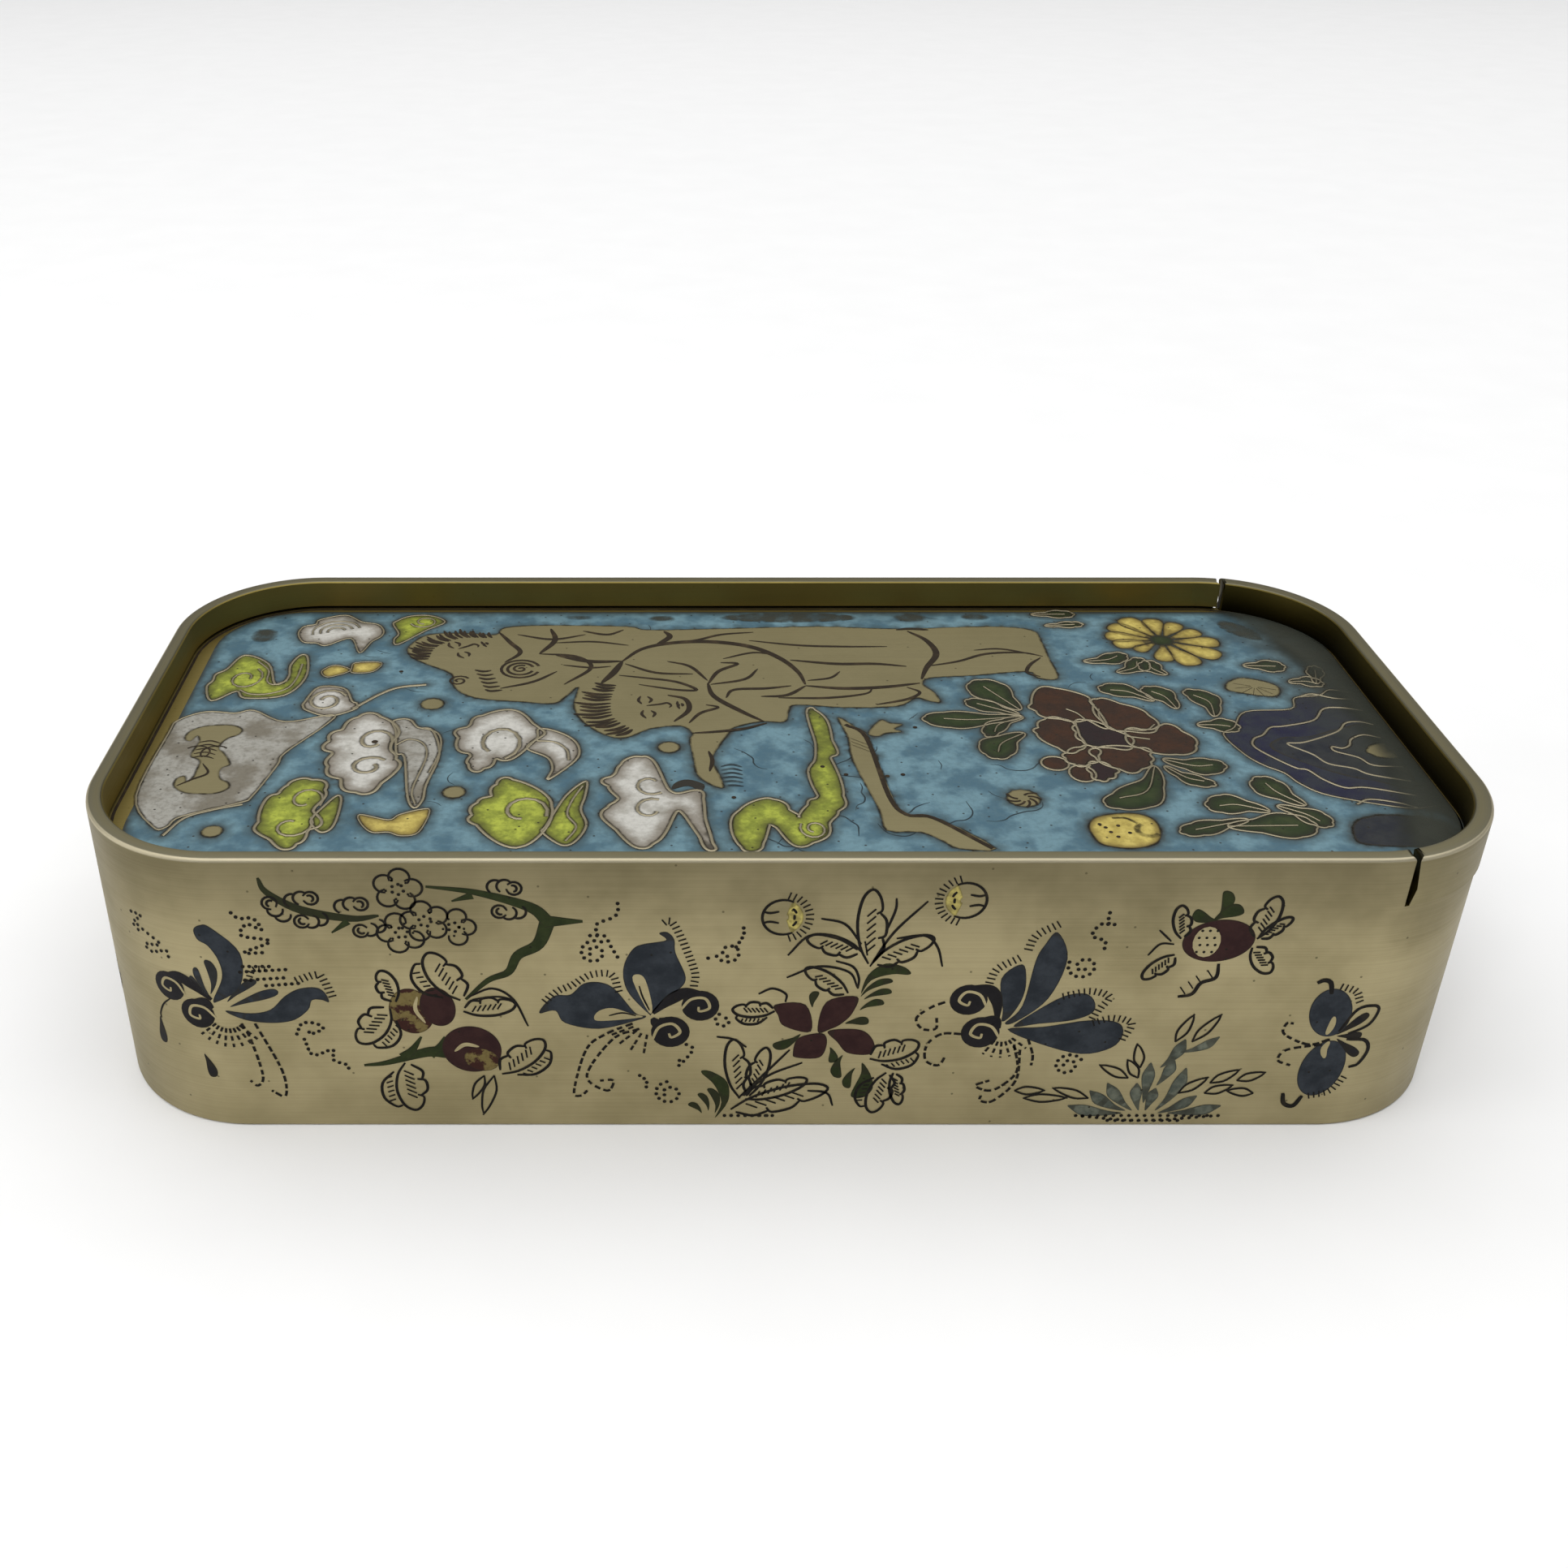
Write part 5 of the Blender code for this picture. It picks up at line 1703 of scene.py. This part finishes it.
# %% Plum, peaches and pomegranate
def plum_branch():
    stroke(wall_layers["green"], [(-17.5, 8), (-16.5, 5.5), (-12, 2.5), (-5, 1), (-1, 1.5)], 1.4,
        WALL_GLASS)
    for points, width in (
            ([(-8, -1.5), (-5.5, 0.5)], 1.2), ([(6, 6.5), (13, 5.5), (20.5, 3), (23, 0.5)], 2),
            ([(28, 0.5), (25.5, 0.5), (22.5, 0.5)], 2.2), ([(9.5, 4), (12.5, 5)], 1.3),
            ([(10.5, -13.5), (14, -10), (17, -8.5), (18.5, -5.5), (21.5, -3.5), (23, 0.5)], 2.3)):
        twig(points, width)
    for centre, turn, petals in (((2, 6), 80, 5), ((5.5, 0.5), 30, 5), ((2, -1.5), 110, 4)):
        blossom(centre, 3.4, turn, range(petals))
    blossom((9.5, -0.5), 3.1, 0, petals=(4, 0, 1))
    for at, turn in (((-14.5, 3.5), 130), ((-11.5, 3), 10), ((-11, 2), 190), ((-4.5, 2), 10),
                     ((-3, 0.5), 200), ((17, 5), -5), ((17.5, 3.5), 180)):
        petal_pair(at, turn)


def peaches():
    wall_fill("peach", oval((-4.6, 4.3), 6.6, 8.4, 10), grid=1)
    wall_fill("maroon", oval((-0.7, 5.1), 5.2, 7.2, 10))
    sliver([(-3.6, 7), (-4, 4.6), (-2.7, 2.1)], 0.6)
    wall_fill("maroon", oval((3.9, -2.9), 9, 8.6, -35))
    fill(wall_layers["peach"], oval((5.3, -4.9), 5.4, 4.2, -20), WALL_GLASS + PALE_UP, 1)
    sliver([(1.3, -3.3), (2.9, -2), (5, -2.4)], 0.7)
    for points, width in (
            ([(-12.5, -6), (-9, -5.5), (-3, -3.5), (0, -3.5)], 2.2),
            ([(-3.5, -0.5), (-5, -3), (-6.5, -4.5)], 1.8),
            ([(0, -0.5), (-1, -2.5), (-2.5, -4)], 1.8)):
        twig(points, width)
    wavy_leaf((-8, 5), (-12.5, -1.5), -0.62, behind=True)
    wavy_leaf((-7, 6), (-8.5, 11.5), 0.60)
    wavy_leaf((3, 6.5), (-1.5, 14.5), -0.56, behind=True)
    wavy_leaf((3, 4.5), (10.5, 5.5), 0.48)
    cut([(4, 7), (7.5, 8.5), (10.5, 6.5), (12.5, 1.5)], 0.38)
    cut([(4.5, 6.5), (8, 7), (10.5, 6.5)], 0.3)
    wavy_leaf((8, -7.5), (14.5, -1.5), 0.5, behind=True)
    almond((7, -8), (5, -15.5), 1.9)
    almond((5.5, -8), (3.5, -12.5), 1.4)
    wavy_leaf((-6, -5.5), (-5.5, -14.5), 0.56, behind=True)


def pomegranate():
    wall_fill("maroon", oval((0.3, 0.1), 10.4, 7.4, 6))
    bare(oval((-1.4, -0.1), 4, 5.4))
    for row in range(4):
        for k in range(3):
            seed = Vector((-1.5, 0)) + Vector((1.1 * (k - 1) + 0.3 * (row % 2), 1.25 * (row - 1.5)))
            dot(wall_lines, seed, 0.24, WALL_LINE)
    plume("green", (-0.7, 4), (0.1, 8.8), 1.9, -0.15)
    plume("green", (-0.4, 3.6), (-4.1, 5.1), 2, 0.1)
    plume("green", (-1.1, 3.6), (2.9, 5.7), 2.3, 0.1)
    wavy_leaf((-5, 0.5), (-6, 6), -0.5)
    wavy_leaf((-5.5, -2.5), (-9.5, -6.5), 0.5)
    cut([(-8.5, 2), (-7.5, 1), (-6.5, 0)], 0.34)
    cut([(-9.5, -2.5), (-8, -0.5), (-6, -0.5)], 0.34)
    wavy_leaf((5.5, 0.5), (7.5, 7.5), 0.5)
    wavy_leaf((6, 0.5), (10, 4), -0.4)
    wavy_leaf((5.5, -1), (8.5, -5.5), 0.6)
    cut([(1, -4), (1, -6.5), (-1, -7.5), (-2, -9.5), (-4, -10)], 0.6)
    for at in [(0.5, -6.5), (-1, -7.5), (-2, -8.5), (-3, -9.5)]:
        cut([at, (at[0] - 0.9, at[1] + 1.3)], 0.34, 2)


# %% [markdown]
# Then come a four-petalled flower with wavy leaves, the thistle heads that stand above it, and a tuft
# of grass for the foot of the wall.

# %% The flower, thistles and grass
def flower():
    for points in (
            [(-7, 3.5), (-2.5, 3.5), (-1.5, -1.5), (-5.5, -0.5), (-6.5, 1.5)],
            [(-0.5, -1.5), (0.5, 4), (5, 5), (4.5, 2), (3, 0), (1.5, -1)],
            [(-4, -5.5), (-3.5, -3), (-1.5, -2), (0.5, -2), (1, -4), (0, -6.5), (-3.5, -6.5)],
            [(1, -1.5), (4, -1), (6.5, -1.5), (8, -3.5), (8, -5.5), (6.5, -6), (4, -5.5), (2.5, -3.5)]):
        wall_fill("maroon", points)
    for root, tip, width, bend in (
            ((-1.5, 3), (-1, 6), 1.2, 0.1), ((-3, -2), (-7, -4.5), 1.6, 0.1),
            ((3.5, 0), (7, 0.5), 1.4, 0.05), ((1.5, -4.5), (2, -7.5), 1.3, 0.1),
            ((5.5, 5.5), (12.5, 9.5), 2, 0.30), ((5.5, 5), (10, 8), 1.1, 0.14),
            ((6, 4.5), (10, 6), 1.1, 0.10), ((5.5, 2.5), (9, 4), 1.2, 0.12),
            ((3.5, -6), (3, -10.5), 1.5, -0.14), ((5.5, -8.5), (4.5, -12.5), 1.3, -0.12),
            ((6.5, -7.5), (6, -14.5), 2.6, 0.14), ((-15.5, -18.5), (-17.5, -9), 1.9, -0.26),
            ((-15.5, -17.5), (-16.5, -12.5), 1.2, -0.16), ((-16.5, -17), (-18, -13.5), 1, -0.12),
            ((-17.5, -17.5), (-19.5, -15.5), 1, -0.12)):
        plume("green", root, tip, 1.1 * width, bend)
    wavy_leaf((6.5, 11), (6, 23.5), -0.36)
    wavy_leaf((5, 13), (-2.5, 15.5), 0.44)
    wavy_leaf((3.5, 5.5), (-2.5, 10), 0.42)
    wavy_leaf((7, 11), (15, 15.5), -0.42)
    for points in (
            [(-5.5, 12.5), (-2.5, 16), (1.5, 15.5), (4.5, 13.5)],
            [(-5.5, 8.5), (-1, 10.5), (3.5, 9.5), (5, 6.5)],
            [(-1, 19), (2.5, 18), (5, 14.5)], [(1.5, 11.5), (4, 10.5), (5, 8.5), (5, 6.5)],
            [(9.5, 22.5), (9.5, 20.5), (8.5, 17)], [(10, 15.5), (14, 16), (16, 14), (17, 10.5)],
            [(6.5, 10.5), (9.5, 16.5), (14, 22)], [(6, 12.5), (5.5, 15)],
            [(-9.5, 5.5), (-7.5, 6.5), (-5.5, 5.5), (-5.5, 4)],
            [(-15.5, -2.5), (-13, -3), (-11, -4.5)], [(-11.5, -14), (-7.5, -10), (-2.5, -7.5)],
            [(-12, -14.5), (-8, -9.5), (-4.5, -5)],
            [(-1.5, -13), (1.5, -13.5), (2.5, -16)]):
        cut(points, 0.4)
    wavy_leaf((-7, 2.5), (-13, 2.5), -0.5, behind=True)
    wavy_leaf((7.5, -6.5), (14.5, -4), 0.56, behind=True)
    wavy_leaf((10.5, -9.5), (8.5, -17), 0.5, behind=True)
    wavy_leaf((11.5, -9.5), (12.5, -15.5), 0.4)
    wavy_leaf((-11.5, -14.5), (-13, -3.5), -0.36)
    wavy_leaf((-10.5, -14), (-8, -5), 0.34)
    wavy_leaf((-11, -14.5), (-2, -11), 0.36)
    wavy_leaf((-13, -17), (1, -12.5), -0.32)


def thistle(facing):
    """An open basket in line, a straw-coloured patch on one side and ticks outside it."""
    centre = (0, 0)
    cut(arc(centre, 3, facing - 118, facing + 118, 14), 0.42, 2)
    for side in (-1, 1):
        cut(moved([(2.9, 1.0 * side), (1.9, 0.75 * side), (0.6, 1.0 * side)], centre, facing), 0.38, 3)
    back = facing + 180
    patch = arc(centre, 2.9, back - 66, back + 66, 10) + arc(centre, 0.7, back + 50, back - 50, 6)
    wall_fill("straw", patch, 2, 0.9)
    for k in (-1, 0, 1):
        cut(arc(centre, 1.6 + 0.4 * abs(k), back + 34 * k - 14, back + 34 * k + 16, 3), 0.4, 2)
    fringe(arc(centre, 3.8, back + 78, back - 78, 10), 1.2)


def grass():
    for root, tip, width, bend in (
            ((-4, -2.5), (-12.5, -1), 1.6, 0.06), ((-3.5, -2), (-9.5, 2), 1.6, 0.08),
            ((-2.5, -2), (-7, 3.5), 1.5, 0.06), ((-1.5, -2), (-2.5, 3.5), 1.4, 0.05),
            ((-1, -0.5), (-1, 7.5), 1.5, 0), ((-0.5, -2), (0.5, 2.5), 1.4, 0),
            ((1, -2), (4.5, 6.5), 1.6, -0.08), ((1.5, -2.5), (7, 1), 1.4, -0.06),
            ((3, -2.5), (11, -1), 1.5, -0.05), ((0.5, 3), (2.5, 8), 1.4, -0.05),
            ((0.5, 6.5), (3.5, 12), 1.5, -0.08), ((3, 9.5), (8.5, 12.5), 1.2, -0.10)):
        plume("grass", root, tip, 1.35 * width, bend, blunt=0.35)
    for base, tip in (
            ((-4, 4.5), (-8.5, 7)), ((-2.5, 4.5), (-4.5, 8)), ((-2.5, 6.5), (-3.5, 11)),
            ((-21, 2), (-16.5, 2)), ((-19.5, 0.5), (-13, 0.5)), ((-9.5, 0.5), (-15, 2.5)),
            ((2, 11.5), (4, 16.5)), ((4.5, 11.5), (8, 16.5)), ((4, 1.5), (8, 4.5)),
            ((8.5, 3.5), (12.5, 6)), ((8, 1.5), (12, 3)), ((15.5, 1.5), (11.5, 2)),
            ((12.5, 4), (16.5, 5.5))):
        almond(base, tip)
    dots([(-11, -3), (-1, -4), (11, -3)], 1.1)
    dots([(-10, -3), (0, -3), (10, -3)], 1.2)
    dots([(-6, -4), (5, -4)], 1.2)


# %% [markdown]
# Now the drawing itself: the front as the photograph shows it. The other three sides can't be seen
# there. They repeat the same motifs, more widely spaced, because such boxes are worked all round.

# %% All four sides
BACK, RIGHT_END, LEFT_END = ROUND_TRIP / 2, ROUND_TRIP / 4, 3 * ROUND_TRIP / 4
for motif, x, y in (
        (left_butterfly, -85, 23), (middle_butterfly, -21, 22), (right_butterfly, 33, 19),
        (corner_butterfly, 82, 16),
        (plum_branch, -58, 38), (peaches, -51, 18), (flower, 5, 20), (pomegranate, 61, 35), (grass, 56, 5),
        (flower, BACK + 11, 20), (right_butterfly, BACK + 39, 19), (left_butterfly, BACK - 91, 23),
        (grass, BACK - 36, 5), (pomegranate, BACK - 31, 35), (right_butterfly, RIGHT_END + 13, 19),
        (peaches, LEFT_END - 2, 18), (right_butterfly, LEFT_END + 19, 19)):
    put(motif, x, y)
put(lambda: thistle(180), -1.4, 39.2)
put(lambda: thistle(0), 24.3, 42.1)
print(f"engraved {wall_lines.figures} strokes and dots round the wall")

# %% [markdown]
# The wall's glass is darker than the lid's: slate blue, a blue black, maroon, a bottle green, and a
# peach that runs from straw to red. All are stoned flush, so their sheen is close to the brass's.

# %% Glass for the wall
def wall_glass(name, glass, clouded, **more):
    more.setdefault("seam", 0.35)
    more.setdefault("seam_strength", 0.5)
    more.setdefault("shine", 0.08)
    return enamel("wall enamel, " + name, tone(*glass), tone(*clouded), **more)


for name, finish in (
        ("blue", wall_glass("slate blue", (35, 40, 46), (53, 58, 64), cloud_size=4.0, mottle=0.4)),
        ("night", wall_glass("blue black", (22, 20, 22), (32, 30, 32))),
        ("grass", wall_glass("blue grey", (108, 112, 98), (76, 82, 74), cloud_size=2.5)),
        ("maroon", wall_glass("maroon", (46, 25, 25), (56, 34, 32), cloud_size=3.0)),
        ("peach", wall_glass("straw to red", (118, 104, 62), (58, 32, 26), cloud_size=2.6,
                             clouds=(0.46, 0.54))),
        ("straw", wall_glass("straw", (192, 178, 102), (150, 138, 82), cloud_size=1.6)),
        ("green", wall_glass("bottle green", (36, 45, 20), (48, 56, 28), cloud_size=3.0)),
        ("metal", box_brass),
        ("lines", engraver_paste("black paste of the wall", tone(20, 17, 13), tone(44, 38, 27)))):
    wall_layers[name].mesh_object(finish, "box")

# %% [markdown]
# ## The camera
# The photograph was matched by fitting the rim, the wall's thickness and the lid's outline: the
# camera looked down at about 31 degrees from a little left of the middle, 30 centimetres away. The
# lens points left of the middle of the frame, which is a small lens shift here.

# %% Camera
EYE_PLACE = (-19.69, -243.5, 176.81)     # millimetres
EYE_TILT = 59.30                         # degrees up from looking straight down

scene = bpy.context.scene
eye = bpy.data.cameras.new("photograph's camera")
eye.sensor_width = 36.0
eye.lens = 38.3
eye.shift_x = 0.0823
eye.clip_start = 0.01
camera = bpy.data.objects.new("camera", eye)
camera.location = Vector(EYE_PLACE) * MM
camera.rotation_euler = (math.radians(EYE_TILT), 0.0, 0.0)
scene.collection.objects.link(camera)
scene.camera = camera
print(f"the camera is {Vector(EYE_PLACE).length / 10:.0f} cm from the middle of the box")

# %% [markdown]
# ## The studio
# Brass looks like what it reflects. The front wall mirrors the table in front of the box, and the rim
# and the lid mirror what stands behind it. So one very large soft light hangs over a white table and
# whitens all of it, while the room behind stays dim, which keeps the glass deep and the rim dark.
# Three small lights, on the left, on the right and at the front left, brighten the rounded corners.

# %% Floor and lights
def soft_light(name, place, aim, width, depth, power):
    lamp = bpy.data.lights.new(name, "AREA")
    lamp.shape = "RECTANGLE"
    lamp.size = width
    lamp.size_y = depth
    lamp.energy = power
    made = bpy.data.objects.new(name, lamp)
    made.location = place
    made.rotation_euler = (Vector(aim) - Vector(place)).to_track_quat("-Z", "Y").to_euler()
    scene.collection.objects.link(made)


TABLE_REACH = 5.0            # metres, from the middle to each side
ROOM_LIGHT = 0.16
floor_mesh = bpy.data.meshes.new("floor")
corners = [(TABLE_REACH * x, TABLE_REACH * y, 0.0) for x, y in ((-1, -1), (1, -1), (1, 1), (-1, 1))]
floor_mesh.from_pydata(corners, [], [(0, 1, 2, 3)])
floor = bpy.data.objects.new("floor", floor_mesh)
scene.collection.objects.link(floor)
paper, paper_tree, paper_shader = new_finish("white paper", Roughness=0.9, Specular_IOR_Level=0.1)
grain = add(paper_tree, "ShaderNodeTexNoise", {"Scale": 400.0, "Detail": 2.0})
paper_colour = mix(paper_tree, grain.outputs[0], (0.84, 0.84, 0.84), (0.88, 0.88, 0.88))
paper_tree.links.new(paper_colour, paper_shader.inputs["Base Color"])
floor_mesh.materials.append(paper)

soft_light("overhead", (0.0, 0.4, 2.4), (0.0, 0.4, 0.0), 5.0, 4.4, 118.0)
soft_light("left", (-0.9, -0.25, 0.30), (0.0, 0.0, 0.03), 0.4, 0.5, 2.0)
soft_light("right", (0.9, -0.3, 0.35), (0.0, 0.0, 0.03), 0.4, 0.5, 0.25)
soft_light("front left", (-0.42, -0.75, 1.05), (-0.10, -0.12, 0.0), 0.30, 0.30, 2.0)

world = bpy.data.worlds.new("studio")
scene.world = world
world.use_nodes = True
room = world.node_tree.nodes["Background"]
room.inputs["Color"].default_value = (1.0, 1.0, 1.0, 1.0)
room.inputs["Strength"].default_value = ROOM_LIGHT
scene.view_settings.view_transform = "Standard"
